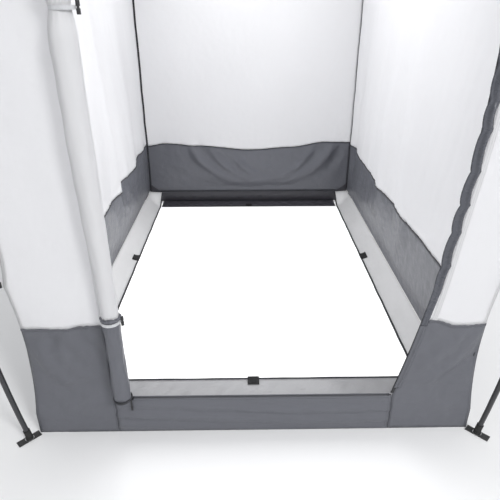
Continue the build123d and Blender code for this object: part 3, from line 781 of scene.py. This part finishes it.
def back_gussets(low_z):
    """Dark three-cornered pieces sewn over the band's lower corners, folded out towards the corner."""
    reach, rise = 0.078, 0.060
    made = []
    for side in SIDES.values():
        s = np.linspace(0, 1, 9)[:, None]
        t = np.linspace(0.001, 1, 9)[None, :]
        x = side * (WALL_X - 0.003 - reach * s * t)
        z = low_z - 0.004 + rise * (1 - s) * t
        y = WALL_Y - 0.0024 - 0.006 * np.sin(math.pi * s) * t
        points = stacked(x, y, z)
        flat = stacked(reach * s * t, rise * (1 - s) * t)
        made.append(cloth(f"gusset_{side}", points, flat))
    piece = joined("back_gusset_cloth", *made)
    dress(piece, "dark_sill_cloth", stands_for=["back_corner_gussets"])
    sheet(piece)


def back_sill_and_flap():
    """The near-black sill under the back band and the flap that turns in from it over the ground."""
    top = high("back_sill").z
    x, z = grid(spaced(-WALL_X, WALL_X, 0.010), spaced(0.0008, top, 0.006))
    share = z / top
    creased = 0.0016 * ripple(x + 0.4 * z, 0.070, 4) + 0.0011 * ripple(x - 0.9 * z, 0.031, 7)
    y = WALL_Y - 0.0005 + (creased - 0.005) * np.sin(math.pi * share) - 0.002 * (1 - share)
    points = stacked(x, y, z + 0.0008 * ripple(x, 0.2, 3) * share)
    sill = sewn("back_sill_cloth", points, stacked(x, z), "dark_sill_cloth", ["back_sill"])
    sheet(sill)
    seam = [(x, WALL_Y - 0.0022, top + 0.0006 * math.sin(21 * x)) for x in spaced(-WALL_X, WALL_X, 0.012)]
    strip("back_sill_piping", seam, FORWARD, 0.0022, 0.0012, "binding_tape", sides=8)

    near, far = high("back_ground_flap").y, low("back_ground_flap").y
    half = high("back_ground_flap").x
    x, y = grid(spaced(-half, half, 0.010), spaced(far, near, 0.008))
    inside = np.sin(math.pi * (y - far) / (near - far))
    z = 0.0014 + inside * (0.0022 + 0.0022 * ripple(x + 0.6 * y, 0.085, 5) + 0.0012 * ripple(x - y, 0.036, 2))
    flap = sewn("back_flap_cloth", stacked(x, y, z), stacked(x, y), "dark_sill_cloth", ["back_ground_flap"])
    sheet(flap)


# ---------------------------------------------------------------- front wall

ARC_RISE = ARC_BULGE_Z - DOOR_SILL
ARC_SAG = ARC_BULGE_X - ARC_LOW_X
ARC_R = (ARC_RISE**2 + ARC_SAG**2) / (2 * ARC_SAG)
ARC_CENTRE_X = ARC_BULGE_X - ARC_R


def arc_x(z, inset=0.0):
    """X of the curved zip line at height z. A positive inset is towards the opening."""
    return ARC_CENTRE_X + np.sqrt((ARC_R - inset) ** 2 - (np.asarray(z, float) - ARC_BULGE_Z) ** 2)


HEADER_END = float(arc_x(ARC_TOP)) - DOOR_CORNER_R


def door_edge_x(z):
    """X of the doorway's right edge at height z, from the ground to the eaves."""
    z = np.asarray(z, float)
    up = np.clip((z - ARC_TOP) / DOOR_CORNER_R, 0, 1)
    rounded = HEADER_END + DOOR_CORNER_R * np.sqrt(np.clip(1 - up**2, 0, 1))
    return np.where(z < DOOR_SILL, ARC_LOW_X, np.where(z < ARC_TOP, arc_x(z), rounded))


def front_inward(z, edge_share):
    """How far the front wall's outer corner is drawn in; edge_share is 1 at the corner."""
    return corner_pull(z) * edge_share**2


def parted(wall, row):
    """The dark band below the seam and the light panel above it: each one's CAD node, slot and rows."""
    band_part = (f"{wall}_band", "band_cloth", slice(0, row + 1))
    return band_part, (f"{wall}_panel", "light_cloth", slice(row, None))


FRONT_LEFT_FOLDS = (
    ((-0.607, 0.353), (-0.517, 0.218), 0.010, 0.026, 0.032),
    ((-0.564, 0.390), (-0.461, 0.249), 0.010, 0.020, 0.027),
    ((-0.662, 0.354), (-0.578, 0.194), 0.012, 0.023, 0.032),
    ((-0.690, 0.280), (-0.600, 0.090), 0.014, 0.015, 0.032),
    ((-0.560, 0.170), (-0.455, 0.060), 0.010, 0.015, 0.030),
)
FRONT_RIGHT_FOLDS = (
    ((0.690, 0.390), (0.520, 0.190), 0.012, 0.018, 0.030),
    ((0.640, 0.400), (0.490, 0.230), 0.010, 0.012, 0.024),
    ((0.695, 0.250), (0.560, 0.060), 0.014, 0.015, 0.032),
)


def front_left_wall():
    lines_z = spaced(0.0008, WALL_TOP, breaks=(BAND_TOP,))
    x, z = grid(spaced(-WALL_X, DOOR_LEFT, 0.010), lines_z)
    edge = (x - DOOR_LEFT) / (-WALL_X - DOOR_LEFT)
    rise = wavy(x, (-0.70, -0.007), (-0.57, 0.000), (-0.45, 0.011))
    rise = rise * ease(z, 0.05, BAND_TOP) * (1 - ease(z, BAND_TOP, 1.2))
    out = draped(x, z, FRONT_LEFT_FOLDS)
    out = out + 0.0035 * ripple(x + 0.15 * z, 0.16, 6) * ease(z, 0.45, 0.8)
    middle = np.sin(math.pi * edge)
    loose = slack(z, 0.02) * np.sqrt(np.clip(middle, 0, 1))
    tucked = 0.011 * middle * ease(z, 0.46, 0.62)  # drawn in behind the roll, which swings over it
    y = -WALL_Y - CLOTH / 2 - (0.006 * middle + out) * loose + tucked + front_inward(z, edge)
    points = stacked(x + corner_pull(z) * edge, y, z + rise)
    points = settle(points, edges_of(x.shape), 0.004, band_freedom(z), seed=12)
    flat = stacked(x, z)
    row = int(np.argmin(np.abs(lines_z - BAND_TOP)))
    for node, slot, rows in parted("front_left", row):
        piece = sewn(f"{node}_cloth", points[:, rows], flat[:, rows], slot, [node])
        sheet(piece)
    seam_tape("front_left_seam", points[:, row])


def seam_tape(name, path):
    """The lapped seam along the top of a front band: a flat fold of the band's own cloth."""
    path = path + np.array((0, -0.0009, -0.004))
    return strip(name, path, FORWARD, 0.0045, 0.0006, "band_cloth", sides=8)


def front_right_wall():
    lines_z = np.concatenate([
        spaced(0.0008, ARC_TOP, breaks=(DOOR_SILL, BAND_TOP)),
        ARC_TOP + DOOR_CORNER_R * np.sin(np.linspace(0, math.pi / 2, 15))[1:],
        spaced(DOOR_TOP, WALL_TOP)[1:],
    ])
    share, z = grid(np.linspace(0, 1, 24), lines_z)
    start = door_edge_x(z)
    flat_x = start + share * (WALL_X - start)
    x = start + share * (WALL_X - corner_pull(z) - start)
    rise = wavy(flat_x, (0.45, 0.014), (0.52, 0.019), (0.61, -0.001), (0.70, -0.003))
    rise = rise * ease(z, 0.15, BAND_TOP) * (1 - ease(z, BAND_TOP, 1.2))
    out = draped(flat_x, z, FRONT_RIGHT_FOLDS)
    out = out + 0.003 * ripple(flat_x - 0.1 * z, 0.13, 3) * ease(z, 0.45, 0.8)
    middle = np.sin(math.pi * share)
    y = -WALL_Y - CLOTH / 2 - (0.004 * middle + out * np.sqrt(np.clip(middle, 0, 1))) * slack(z, 0.02)
    y = y + front_inward(z, share)
    points = settle(stacked(x, y, z + rise), edges_of(x.shape), 0.003, band_freedom(z), seed=15)
    flat = stacked(flat_x, z)
    row = int(np.argmin(np.abs(lines_z - BAND_TOP)))
    for node, slot, rows in parted("front_right", row):
        gap = np.minimum(flat_x - start, WALL_X - flat_x)[:, rows]
        ends = np.minimum(z - lines_z[rows][0], lines_z[rows][-1] - z)[:, rows]
        hem = stacked(np.minimum(gap, ends), np.where(gap < ends, z[:, rows], flat_x[:, rows]))
        piece = sewn(f"{node}_cloth", points[:, rows], flat[:, rows], slot, [node], hem=hem)
        sheet(piece)
    seam_tape("front_right_seam", points[2:, row])


def front_header_and_sill():
    x, z = grid(spaced(DOOR_LEFT + 0.0004, HEADER_END, 0.012), spaced(DOOR_TOP, WALL_TOP, 0.008))
    middle = np.sin(math.pi * (z - DOOR_TOP) / (WALL_TOP - DOOR_TOP))
    y = -WALL_Y - CLOTH / 2 - 0.0015 * ripple(x, 0.3, 2) * middle
    header = sewn("front_header_cloth", stacked(x, y, z), stacked(x, z), "light_cloth", ["front_header"])
    sheet(header)

    start, end, top = DOOR_LEFT + 0.0004, ARC_LOW_X - 0.0008, low("door_zip_sill").z - 0.0004
    x, z = grid(spaced(start, end, 0.008), spaced(0.0008, top, 0.006))
    share = z / top
    rows = 0.0030 * np.sin(2 * math.pi * (z / 0.046 + 0.35 * np.sin(4.2 * x + 0.6)))
    creases = 0.0012 * ripple(x + 1.6 * z, 0.12, 5) + 0.0008 * ripple(z + 0.12 * x, 0.022, 8)
    hold = np.sin(math.pi * np.clip(share, 0, 1)) ** 0.6
    y = -WALL_Y - CLOTH / 2 - (0.004 + rows + creases) * hold
    sill = sewn("front_sill_cloth", stacked(x, y, z), stacked(x, z), "band_cloth", ["front_sill"])
    sheet(sill)


# ---------------------------------------------------------------- zips and the storm flap

TOOTH_PITCH = 0.0024
TOOTH_HALF_WIDTH = 0.0021


def zip_teeth(name, path):
    """The coil of a zip: rounded turns side by side along a path."""
    along = directions(path)
    out = np.array(FORWARD)
    across = np.cross(along, out)
    corners = [
        (side * TOOTH_HALF_WIDTH * wide, rise, run)
        for run in (-0.4, 0.4)
        for side, wide, rise in ((-1, 1.0, 0.0), (-1, 0.75, 0.0009), (1, 0.75, 0.0009), (1, 1.0, 0.0))
    ]
    block = np.array([(0, 1, 2, 3), (7, 6, 5, 4), (0, 4, 5, 1), (1, 5, 6, 2), (2, 6, 7, 3), (3, 7, 4, 0)])
    points, faces = [], []
    for i, (place, t, s) in enumerate(zip(path, along, across)):
        points.extend(place + s * a + out * b + t * c * TOOTH_PITCH for a, b, c in corners)
        faces.append(block + 8 * i)
    return mesh_object(name, np.array(points), np.concatenate(faces))


def zips():
    sill_y = FRONT_Y - 0.0004
    start, end = low("door_zip_sill").x, high("door_zip_sill").x
    path = np.array([(x, sill_y, DOOR_SILL) for x in np.arange(start, end, TOOTH_PITCH)])
    dress(zip_teeth("zip_coil_sill", path), "zip_coil", stands_for=["door_zip_sill"])
    strip("zip_tape_sill", path[::6], FORWARD, 0.0062, 0.0004, "band_cloth", sides=8)
    heights = np.arange(low("door_zip_side").z + 0.004, ARC_TOP, TOOTH_PITCH)
    path = stacked(arc_x(heights, 0.0034), sill_y, heights)
    dress(zip_teeth("zip_coil_side", path), "zip_coil", stands_for=["door_zip_side"])
    strip("zip_tape_side", path[::6], FORWARD, 0.0056, 0.0004, "binding_tape", sides=8)


STORM_WIDTH = 0.027  # of the storm flap beside the light panel
FACING_WIDTH = 0.020  # of the facing that continues it beside the band
GATHER_PITCH = 0.088  # between two gathers of the storm flap


def hem_sag(z):
    """How far the edge of the doorway leans into the opening at height z."""
    return 0.009 * bell(z, 0.74, 0.24)


def storm_flap():
    """The satin strip that covers the curved zip, and the light double-stitched hem beside it."""
    bottom, top = low("door_storm_flap").z, high("door_storm_flap").z
    heights = spaced(bottom, top, 0.006)
    t, z = grid(np.linspace(0, 1, 9), heights)
    width = FACING_WIDTH + (STORM_WIDTH - FACING_WIDTH) * ease(z, 0.42, 0.60)
    gather = np.abs(np.sin(math.pi * (z + 0.02 * ripple(z, 0.31, 2)) / GATHER_PITCH)) ** 0.6
    loose = ease(z, 0.50, 0.62) * (1 - ease(z, 1.27, 1.34))
    start = 0.0062 + loose * (0.0075 * gather - 0.0035) - 0.0066 * ease(z, 1.27, 1.34)
    inset = start + hem_sag(z) - width * t
    pucker = 0.0022 * ripple(z + 0.008 * t, 0.034, 3) + 0.0016 * ripple(z - 0.02 * t, 0.017, 9)
    clear = ease(start - inset, 0.0080, 0.0140)
    lift = clear * np.sin(math.pi * t) * (0.0030 + 0.0060 * gather * loose + pucker)
    points = stacked(arc_x(z, inset), FRONT_Y - 0.0022 - lift, z)
    flat = stacked(width * t, z)
    split = int(np.argmin(np.abs(heights - BAND_TOP)))
    upper = sewn("storm_flap_cloth", points[:, split:], flat[:, split:], "binding_tape", ["door_storm_flap"])
    upper.data.materials[0] = SATIN
    sheet(upper)
    rows = slice(0, split + 1)
    lower = sewn("door_facing_cloth", points[:, rows], flat[:, rows], "band_cloth")
    sheet(lower)

    z = spaced(BAND_TOP + 0.02, top, 0.010)
    path = stacked(arc_x(z, hem_sag(z) - 0.0285), FRONT_Y - 0.0014, z)
    strip("door_edge_hem", path, FORWARD, 0.0080, 0.0007, "light_cloth", sides=12, squareness=4)


# ---------------------------------------------------------------- corners

def corner_line(corner, heights, inset=0.0):
    """Points on a cabin corner, inset along its diagonal."""
    pull = corner_pull(heights) * (BACK_PULL if corner[1] == BACK else 1.0) + inset
    x = corner[0] * (WALL_X - pull)
    y = corner[1] * (WALL_Y - pull)
    return stacked(x, y, heights)


def corner_tapes():
    """Folded tape down each inside corner: flat on one of the two walls, as it was pressed when sewn."""
    lies_on = {(LEFT, BACK): "end", (RIGHT, BACK): "side", (LEFT, FRONT): "end", (RIGHT, FRONT): "end"}
    made = []
    for (sx, sy), wall in lies_on.items():
        heights = spaced(0.100, WALL_TOP - 0.004, 0.02)
        line = corner_line((sx, sy), heights, 0.0016)
        if wall == "end":
            shift, up = np.array((-sx * 0.0058, 0, 0)), (0, -sy, 0)
        else:
            shift, up = np.array((0, -sy * 0.0058, 0)), (-sx, 0, 0)
        wobble = 0.0006 * ripple(heights, 0.25, sx + 2 * sy)
        path = line + shift + wobble[:, None] * np.array(up)
        made.append(band(f"corner_{sx}_{sy}", path, up, 0.0056, 0.0010, sides=10, squareness=4))
    dress(joined("corner_tapes", *made), "binding_tape", stands_for=["corner_bindings"])


# ---------------------------------------------------------------- ground flaps

EDGE_TAPE = {"half_width": 0.0048, "half_thick": 0.0012, "sides": 10, "squareness": 3.5}
PATCH_THICKNESS = 0.0018
FLAP_FOLD = np.array((WALL_X - 0.0022, FLAP_SEAM - 0.0012))
FLAP_BEND = np.array((0.670, 0.004))  # the flap leaves its fold steeply and runs out flat over the ground
FLAP_FOOT = np.array((0.6204, 0.0016))
FLAP_LENGTH = 0.112
FLAP_HELD_FROM = 0.955  # behind this the flap is sewn into the back corner and stands off the ground


def side_flap_surface(name, y, t, lift=0.0):
    """A point of a side flap: t is 0 at the wall seam, 1 at the edge on the ground and more over its tape."""
    side = SIDES[name]
    on = np.clip(t, 0, 1)[..., None]
    section = (1 - on) ** 2 * FLAP_FOLD + 2 * on * (1 - on) * FLAP_BEND + on**2 * FLAP_FOOT
    swell = 0.0030 + 0.0028 * ripple(y, 0.42, 2 + side) + 0.0016 * ripple(y, 0.13, 5 + side)
    swell = swell * np.sin(math.pi * on[..., 0])
    pucker = 0.0012 * ripple(y + 0.05 * t, 0.055, 3 + side) * ease(t, 0.35, 0.8) * (1 - ease(t, 0.93, 1.0))
    tuck = 0.0010 * ripple(y - 0.03 * t, 0.075, 8 + side) * (1 - ease(t, 0.1, 0.4)) * ease(t, 0.0, 0.08)
    x = section[..., 0] - 0.5 * swell - 0.060 * np.maximum(t - 1, 0)
    z = np.maximum(section[..., 1] + swell + pucker + tuck, 0.0014) + lift
    held = ease(y, FLAP_HELD_FROM, FLAP_HELD_FROM + 0.085)
    x = x + held * (FLAP_FOLD[0] - 0.083 * t - x)
    z = z + held * (FLAP_FOLD[1] - 0.006 * t + lift - z)
    return stacked(side * x, y, z)


def side_flap(name):
    """The pillowy flap that slopes from a side wall to the ground, with its edge tape and hook patch."""
    body = f"{name}_flap"
    side = SIDES[name]
    half = high(f"{name}_ground_flap").y
    y, t = grid(spaced(-half, half, 0.010), np.linspace(0, 1, 17))
    points = side_flap_surface(name, y, t)
    flat = stacked(y, t * FLAP_LENGTH)
    piece = sewn(f"{name}_flap_cloth", points, flat, "side_flap_cloth", [f"{name}_ground_flap"], body)
    ends = spaced(-half, half, 0.014)
    path = side_flap_surface(name, ends, np.full(ends.shape, 1.07), 0.0002)
    path[:, 0] += 0.0011 * ripple(ends, 0.19, 2 + side)
    edge = strip(f"{name}_flap_edge_tape", path, UP, slot="binding_tape", stands_for=[f"{name}_flap_binding"],
                 body=body, **EDGE_TAPE)
    centre = (low(f"{name}_hook_patch").y + high(f"{name}_hook_patch").y) / 2
    y, t = grid(np.linspace(centre - 0.031, centre + 0.031, 13), np.linspace(0.70, 1.16, 12))
    points = side_flap_surface(name, y, t, 0.0022)
    patch = sewn(f"{name}_patch_tape", points, stacked(y, t * FLAP_LENGTH), "hook_tape",
                 [f"{name}_hook_patch"], body, thickness=PATCH_THICKNESS)
    sheet(piece)


def end_bindings_and_front_flap():
    half = high("front_ground_flap").x
    near, far = low("front_ground_flap").y, high("front_ground_flap").y
    x, y = grid(spaced(-half, half, 0.010), spaced(near, far, 0.009))
    inside = np.sin(math.pi * (y - near) / (far - near)) ** 0.7
    marks = 0.0034 * ripple(x + 0.8 * y, 0.17, 3) + 0.0020 * ripple(x - 0.5 * y, 0.060, 6)
    z = 0.0014 + inside * np.maximum(0.0036 + marks, 0)
    flap = sewn("front_flap_cloth", stacked(x, y, z), stacked(x, y), "flap_cloth", ["front_ground_flap"])

    tapes = low("end_flap_bindings"), high("end_flap_bindings")
    made = []
    for name, y0, inward in (("front", tapes[0].y, 1), ("back", tapes[1].y, -1)):
        xs = spaced(-half, half, 0.014)
        ys = y0 + inward * 0.0045 + 0.0009 * ripple(xs, 0.21, 3 * inward)
        path = stacked(xs, ys, 0.0013)
        made.append(band(f"tape_{name}", path, UP, **EDGE_TAPE))
    tape = dress(joined("end_flap_tapes", *made), "binding_tape", stands_for=["end_flap_bindings"])
    patches = []
    half_patch, on_cloth, on_tape = 0.021, 0.031, 0.011
    front_patch = (tapes[0].y - on_cloth, tapes[0].y + on_tape)
    back_patch = (tapes[1].y - on_tape, tapes[1].y + on_cloth)
    for name, (start, end) in (("front", front_patch), ("back", back_patch)):
        px, py = grid(np.linspace(-half_patch, half_patch, 11), np.linspace(start, end, 11))
        pz = 0.0058 + 0.0006 * np.cos(px * 60)
        points, flat = stacked(px, py, pz), stacked(px, py)
        patches.append(cloth(f"patch_{name}", points, flat, thickness=PATCH_THICKNESS))
    patch = dress(joined("end_patch_tapes", *patches), "hook_tape", stands_for=["end_hook_patches"])
    sheet(flap)


# ---------------------------------------------------------------- rolled door

TIES = [(low(toggle).z + high(toggle).z) / 2 for toggle in ("lower_tie_toggle", "upper_tie_toggle")]
ROLL_X = (low("door_roll_lower").x + high("door_roll_lower").x) / 2
ROLL_FOOT = low("door_roll_lower").z
ROLL_TOP = high("door_roll_upper").z
ROLL_OFF_WALL = 0.0032  # between the front wall and the back of the roll
ROLL_TURNS = 2.6
ROLL_PITCH = 0.0030  # each turn of the roll lies this far inside the last


def roll_radius(z):
    """Outer radius of the rolled door at height z: full between the ties and nipped in at each of them."""
    full = 0.0255 + 0.0058 * ease(z, 0.46, 1.0) - 0.003 * ease(z, 1.45, 1.7)
    for tie in TIES:
        full = full - (full - 0.0245) * bell(z, tie, 0.030)
    return full


def roll_lean(z):
    """How far the roll's middle wanders to the side at height z."""
    return 0.0018 * np.sin(4.1 * z + 0.4)


def roll_section(z, seed, rough):
    """Points of the roll's spiral section at each height: from the door seam round and inwards."""
    steps = 110
    turn = np.linspace(0, ROLL_TURNS * 2 * math.pi, steps)[None, :]
    z = z[:, None]
    radius = roll_radius(z)
    angle = math.radians(128) + turn
    flutes = np.sin(3 * angle + 5 * z + seed) + 0.7 * np.sin(5 * angle - 9 * z + 2 * seed)
    flutes = flutes + 0.5 * np.sin(8 * angle + 21 * z)
    dents = np.sin(2 * angle + 17 * z) * np.sin(43 * z + seed) + 0.6 * np.sin(3 * angle - 61 * z)
    gathers = sum(bell(z, tie + 0.018, 0.014) + bell(z, tie - 0.018, 0.014) for tie in TIES)
    r = radius + rough * (0.55 * flutes + 0.7 * dents) - ROLL_PITCH * turn / (2 * math.pi)
    r = r + 0.0011 * gathers * np.sin(13 * angle + seed)
    tied = sum(bell(z, tie, 0.007) for tie in TIES)
    r = r - tied * np.maximum(r - 0.0252, 0)
    centre_x = ROLL_X - 0.004 * ease(z, 0.5, 1.1) + roll_lean(z)
    centre_y = FRONT_Y - ROLL_OFF_WALL - radius
    return centre_x + r * np.cos(angle), centre_y + r * np.sin(angle)


def door_roll():
    """The rolled door: a wound sheet, dark along its hem and light above, tied up beside the doorway."""
    seam_z = high("door_roll_lower").z - 0.007  # the light cloth bulges down over the dark
    parts = (
        ("door_roll_dark", low("door_roll_lower").z, seam_z, "band_cloth", "door_roll_lower", 0.0016),
        ("door_roll_light", seam_z, high("door_roll_upper").z, "light_cloth", "door_roll_upper", 0.0009),
    )
    for name, start, end, slot, node, rough in parts:
        z = spaced(start, end, 0.007)
        x, y = roll_section(z, 1.3, rough)
        frayed = bell(z, ROLL_FOOT, 0.010)[:, None] + bell(z, ROLL_TOP, 0.014)[:, None]
        turn = np.linspace(0, ROLL_TURNS, x.shape[1])[None, :]
        heights = z[:, None] + frayed * 0.0035 * np.sin(5.0 * turn)
        flat = stacked(turn * 0.15, z[:, None])
        piece = sewn(name, stacked(x, y, heights), flat, slot, [node], "door_roll", thickness=0.0010)
        sheet(piece)
    hem_and_ruffle()


def ring_path(z, radius, wave, count, seed):
    """A closed wavy ring round the roll at height z."""
    angle = np.linspace(0, 2 * math.pi, 73)
    centre_x = ROLL_X + roll_lean(z)
    centre_y = FRONT_Y - ROLL_OFF_WALL - float(roll_radius(z))
    r = radius + wave * np.sin(count * angle + seed)
    height = z + wave * np.sin(2 * angle + seed)
    return stacked(centre_x + r * np.cos(angle), centre_y + r * np.sin(angle), height)


def hem_and_ruffle():
    """The doubled hem at the foot of the roll and the crumpled cloth that bulges over the lower tie."""
    path = ring_path(ROLL_FOOT + 0.0045, 0.0265, 0.0012, 3, 0.5)
    strip("door_roll_hem", path, UP, 0.0030, 0.0042, "binding_tape", body="door_roll", squareness=2.2,
          turn_in=False)
    angle = np.linspace(0, 2 * math.pi, 97)[:, None]
    t = np.linspace(0, 1, 9)[None, :]
    flutes = 0.0016 * np.sin(14 * angle + 2.2 * np.sin(3 * angle)) * np.sin(math.pi * t)
    r = 0.0247 + 0.0042 * np.sin(math.pi * t) + flutes
    z = TIES[0] + 0.0055 + 0.012 * t + 0.0020 * np.sin(4 * angle + 1) * t
    centre_x = ROLL_X + roll_lean(TIES[0])
    centre_y = FRONT_Y - ROLL_OFF_WALL - 0.0255
    points = stacked(centre_x + r * np.cos(angle), centre_y + r * np.sin(angle), z)
    flat = stacked(angle * 0.026, 0.015 * t)
    ruffle = sewn("door_roll_ruffle", points, flat, "band_cloth", body="door_roll")
    sheet(ruffle)


# ---------------------------------------------------------------- roof

def roof_height(u, v):
    """Height of the canopy where u and v run from -1 to 1 across the eaves."""
    share = (np.abs(u) ** 7 + np.abs(v) ** 7) ** (1 / 7)
    share = np.minimum(share, 1.0)
    rise = (PEAK_Z - EAVE_Z) * (1 - share**2)
    hip = np.exp(-((np.abs(np.abs(u) - np.abs(v)) / 0.22) ** 2))
    return EAVE_Z + rise - 0.016 * np.sin(math.pi * np.clip(share, 0, 1)) * (1 - hip) - 0.001


def canopy():
    """One taut sheet over four roof rods, creased along the hips, with a loose valance round its edge."""
    u, v = grid(np.linspace(-1, 1, 97), np.linspace(-1, 1, 145))
    x, y = u * ROOF_EDGE_X, v * ROOF_EDGE_Y
    z = roof_height(u, v) + 0.0012 * ripple(x + 0.7 * y, 0.31, 3) * (1 - np.maximum(abs(u), abs(v)) ** 8)
    roof = sewn("canopy_cloth", stacked(x, y, z), stacked(x, y), "light_cloth", ["roof_canopy"])
    made = []
    for sx, sy in ((1, 1), (1, -1), (-1, 1), (-1, -1)):
        s = np.linspace(0.03, 0.985, 60)
        height = roof_height(s, s) + 0.0010
        path = stacked(sx * s * ROOF_EDGE_X, sy * s * ROOF_EDGE_Y, height)
        made.append(band(f"hip_{sx}_{sy}", path, UP, 0.009, 0.0007, sides=10, squareness=4))
    hips = dress(joined("canopy_hip_seams", *made), "light_cloth")
    sheet(roof)

    corners = ((-1, -1), (1, -1), (1, 1), (-1, 1), (-1, -1))
    line = []
    for (ax, ay), (bx, by) in zip(corners, corners[1:]):
        count = 60 if ay == by else 90
        for s in np.linspace(0, 1, count, endpoint=False):
            line.append(((ax + (bx - ax) * s) * ROOF_EDGE_X, (ay + (by - ay) * s) * ROOF_EDGE_Y))
    line = np.array([*line, line[0]])
    travelled = lengths_along(line)
    t = np.linspace(0, 1, 8)[None, :]
    outward = line / np.array((ROOF_X, ROOF_Y))
    outward = np.where(np.abs(outward) > 0.995, np.sign(outward), 0)
    swing = (0.0030 * ripple(travelled, 0.23, 2)[:, None] - 0.0015) * (1 - t)
    xy = line[:, None, :] + outward[:, None, :] * swing[..., None]
    drop = EAVE_Z - 0.0022 - VALANCE_Z
    z = VALANCE_Z + drop * t + 0.0014 * ripple(travelled, 0.31, 5)[:, None] * (1 - t)
    points = np.concatenate([xy, np.broadcast_to(z, xy.shape[:2])[..., None]], axis=2)
    flat = stacked(travelled[:, None], z)
    valance = sewn("valance_cloth", points, flat, "light_cloth", ["eave_valance"])
    sheet(valance)


def vent_hood():
    """The hood over the back vent: a sheet that sags a little between its hinge seam and its stiff hem."""
    lo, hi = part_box("vent_hood")
    u, t = grid(spaced(lo.x, hi.x, 0.012), np.linspace(0, 1, 15))
    top = np.array((hi.z, lo.y + 0.0012))
    bottom = np.array((lo.z, hi.y - 0.0006))
    z = bottom[0] + (top[0] - bottom[0]) * t
    y = bottom[1] + (top[1] - bottom[1]) * t
    middle = np.sin(math.pi * t) * np.sin(math.pi * (u - lo.x) / (hi.x - lo.x)) ** 0.5
    y = y - 0.004 * middle + 0.0007 * ripple(u, 0.08, 4) * middle
    length = float(np.linalg.norm(top - bottom))
    hood = sewn("vent_hood_cloth", stacked(u, y, z), stacked(u, t * length), "light_cloth", ["vent_hood"],
                "vent_hood")
    sheet(hood)


BLIND_LOOPS_Y = (-0.19, 0.19)


def window_blinds():
    """Each window's blind, wound up over the mesh on the outside and nipped by two loops."""
    lo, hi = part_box("side_window_blinds")
    centre_z = (lo.z + hi.z) / 2
    radius = (hi.z - lo.z) / 2
    centre_x = hi.x - radius
    turns, pitch, sag = 2.3, 0.0022, 0.002
    rolls, loops = [], []
    for side in SIDES.values():
        y = spaced(lo.y, hi.y, 0.009)[:, None]
        turn = np.linspace(0, turns * 2 * math.pi, 80)[None, :]
        nip = sum(bell(y, place, 0.020) for place in BLIND_LOOPS_Y)
        r = radius * (1 - 0.16 * nip) - pitch * turn / (2 * math.pi)
        r = r + 0.0006 * np.sin(4 * turn + 19 * y) + 0.0004 * np.sin(7 * turn - 31 * y)
        x = side * (centre_x + r * np.cos(turn + math.pi))
        z = centre_z + r * np.sin(turn + math.pi) - sag * (1 - (y / hi.y) ** 2)
        rolls.append(cloth(f"blind_{side}", stacked(x, y + 0 * turn, z), stacked(y, turn * 0.015)))
        for place in BLIND_LOOPS_Y:
            angle = np.linspace(0, 2 * math.pi, 41)
            ring_r = radius * 0.84 + pitch
            ring_z = centre_z - sag + ring_r * np.sin(angle)
            ring = stacked(side * (centre_x + ring_r * np.cos(angle)), place, ring_z)
            loops.append(band(f"loop_{side}_{place}", ring, (0, 1, 0), 0.0012, 0.004, sides=8, turn_in=False))
    blinds = dress(joined("window_blind_rolls", *rolls), "light_cloth", stands_for=["side_window_blinds"])
    ties = dress(joined("window_blind_loops", *loops), "binding_tape")
    sheet(blinds)


# ---------------------------------------------------------------- stage

def plane(name, half_x, half_y, centre, z, material):
    corners = [(-half_x, -half_y), (half_x, -half_y), (half_x, half_y), (-half_x, half_y)]
    points = [(centre[0] + x, centre[1] + y, z) for x, y in corners]
    made = mesh_object(name, points, [(0, 1, 2, 3)])
    made.data.materials.append(material)
    return made


def floor():
    material, tree, shader = principled("floor")
    place = object_vector(tree)
    base = colour_mix(tree, noise(tree, place, 3), (0.90, 0.90, 0.905), (0.92, 0.92, 0.925))
    tree.links.new(base, shader.inputs["Base Color"])
    shader.inputs["Roughness"].default_value = 0.7
    plane("floor", 9, 9, (0, 0), -0.0006, material)
    # Painted light: a floor patch inside the tent that glows white, brightening the floor and the cloth
    # around it the way a lamp would.
    material, tree, shader = principled("glowing_floor")
    shader.inputs["Base Color"].default_value = (0.9, 0.9, 0.9, 1)
    shader.inputs["Emission Color"].default_value = (1, 1, 1, 1)
    shader.inputs["Emission Strength"].default_value = 0.55
    plane("glowing_floor", 0.64, 1.0, (0, 0.03), -0.0003, material)


def area_light(name, place, aim, size, power):
    data = bpy.data.lights.new(name, "AREA")
    data.shape = "RECTANGLE"
    data.size, data.size_y = size
    data.energy = power
    made = placed(name, data)
    made.location = place
    made.rotation_euler = (Vector(aim) - Vector(place)).to_track_quat("-Z", "Y").to_euler()
    return made


def lights():
    world = bpy.data.worlds.new("studio")
    bpy.context.scene.world = world
    world.use_nodes = True
    world.node_tree.nodes["Background"].inputs["Color"].default_value = (0.98, 0.99, 1.0, 1)
    world.node_tree.nodes["Background"].inputs["Strength"].default_value = 0.74
    area_light("key", (3.6, -5.6, 4.6), (0, -0.9, 0.3), (1.5, 1.5), 250)
    area_light("under_roof", (0, 0.1, 1.74), (0, 0.1, 0), (0.9, 1.5), 18)


def camera():
    data = bpy.data.cameras.new("camera")
    data.lens = 35.23
    data.sensor_width = 36
    data.shift_x = -0.005
    data.shift_y = -0.005
    data.clip_start = 0.05
    made = placed("camera", data)
    made.location = (-0.0264, -2.248, 1.25)
    made.rotation_euler = (math.radians(63.84), 0, math.radians(-0.93))
    bpy.context.scene.camera = made


def main():
    bpy.context.scene.view_settings.view_transform = "Standard"
    finish_cad_nodes()
    side_walls()
    back_wall()
    back_sill_and_flap()
    front_left_wall()
    front_right_wall()
    front_header_and_sill()
    zips()
    storm_flap()
    corner_tapes()
    for name in SIDES:
        side_flap(name)
    end_bindings_and_front_flap()
    door_roll()
    canopy()
    vent_hood()
    window_blinds()
    floor()
    lights()
    camera()


main()
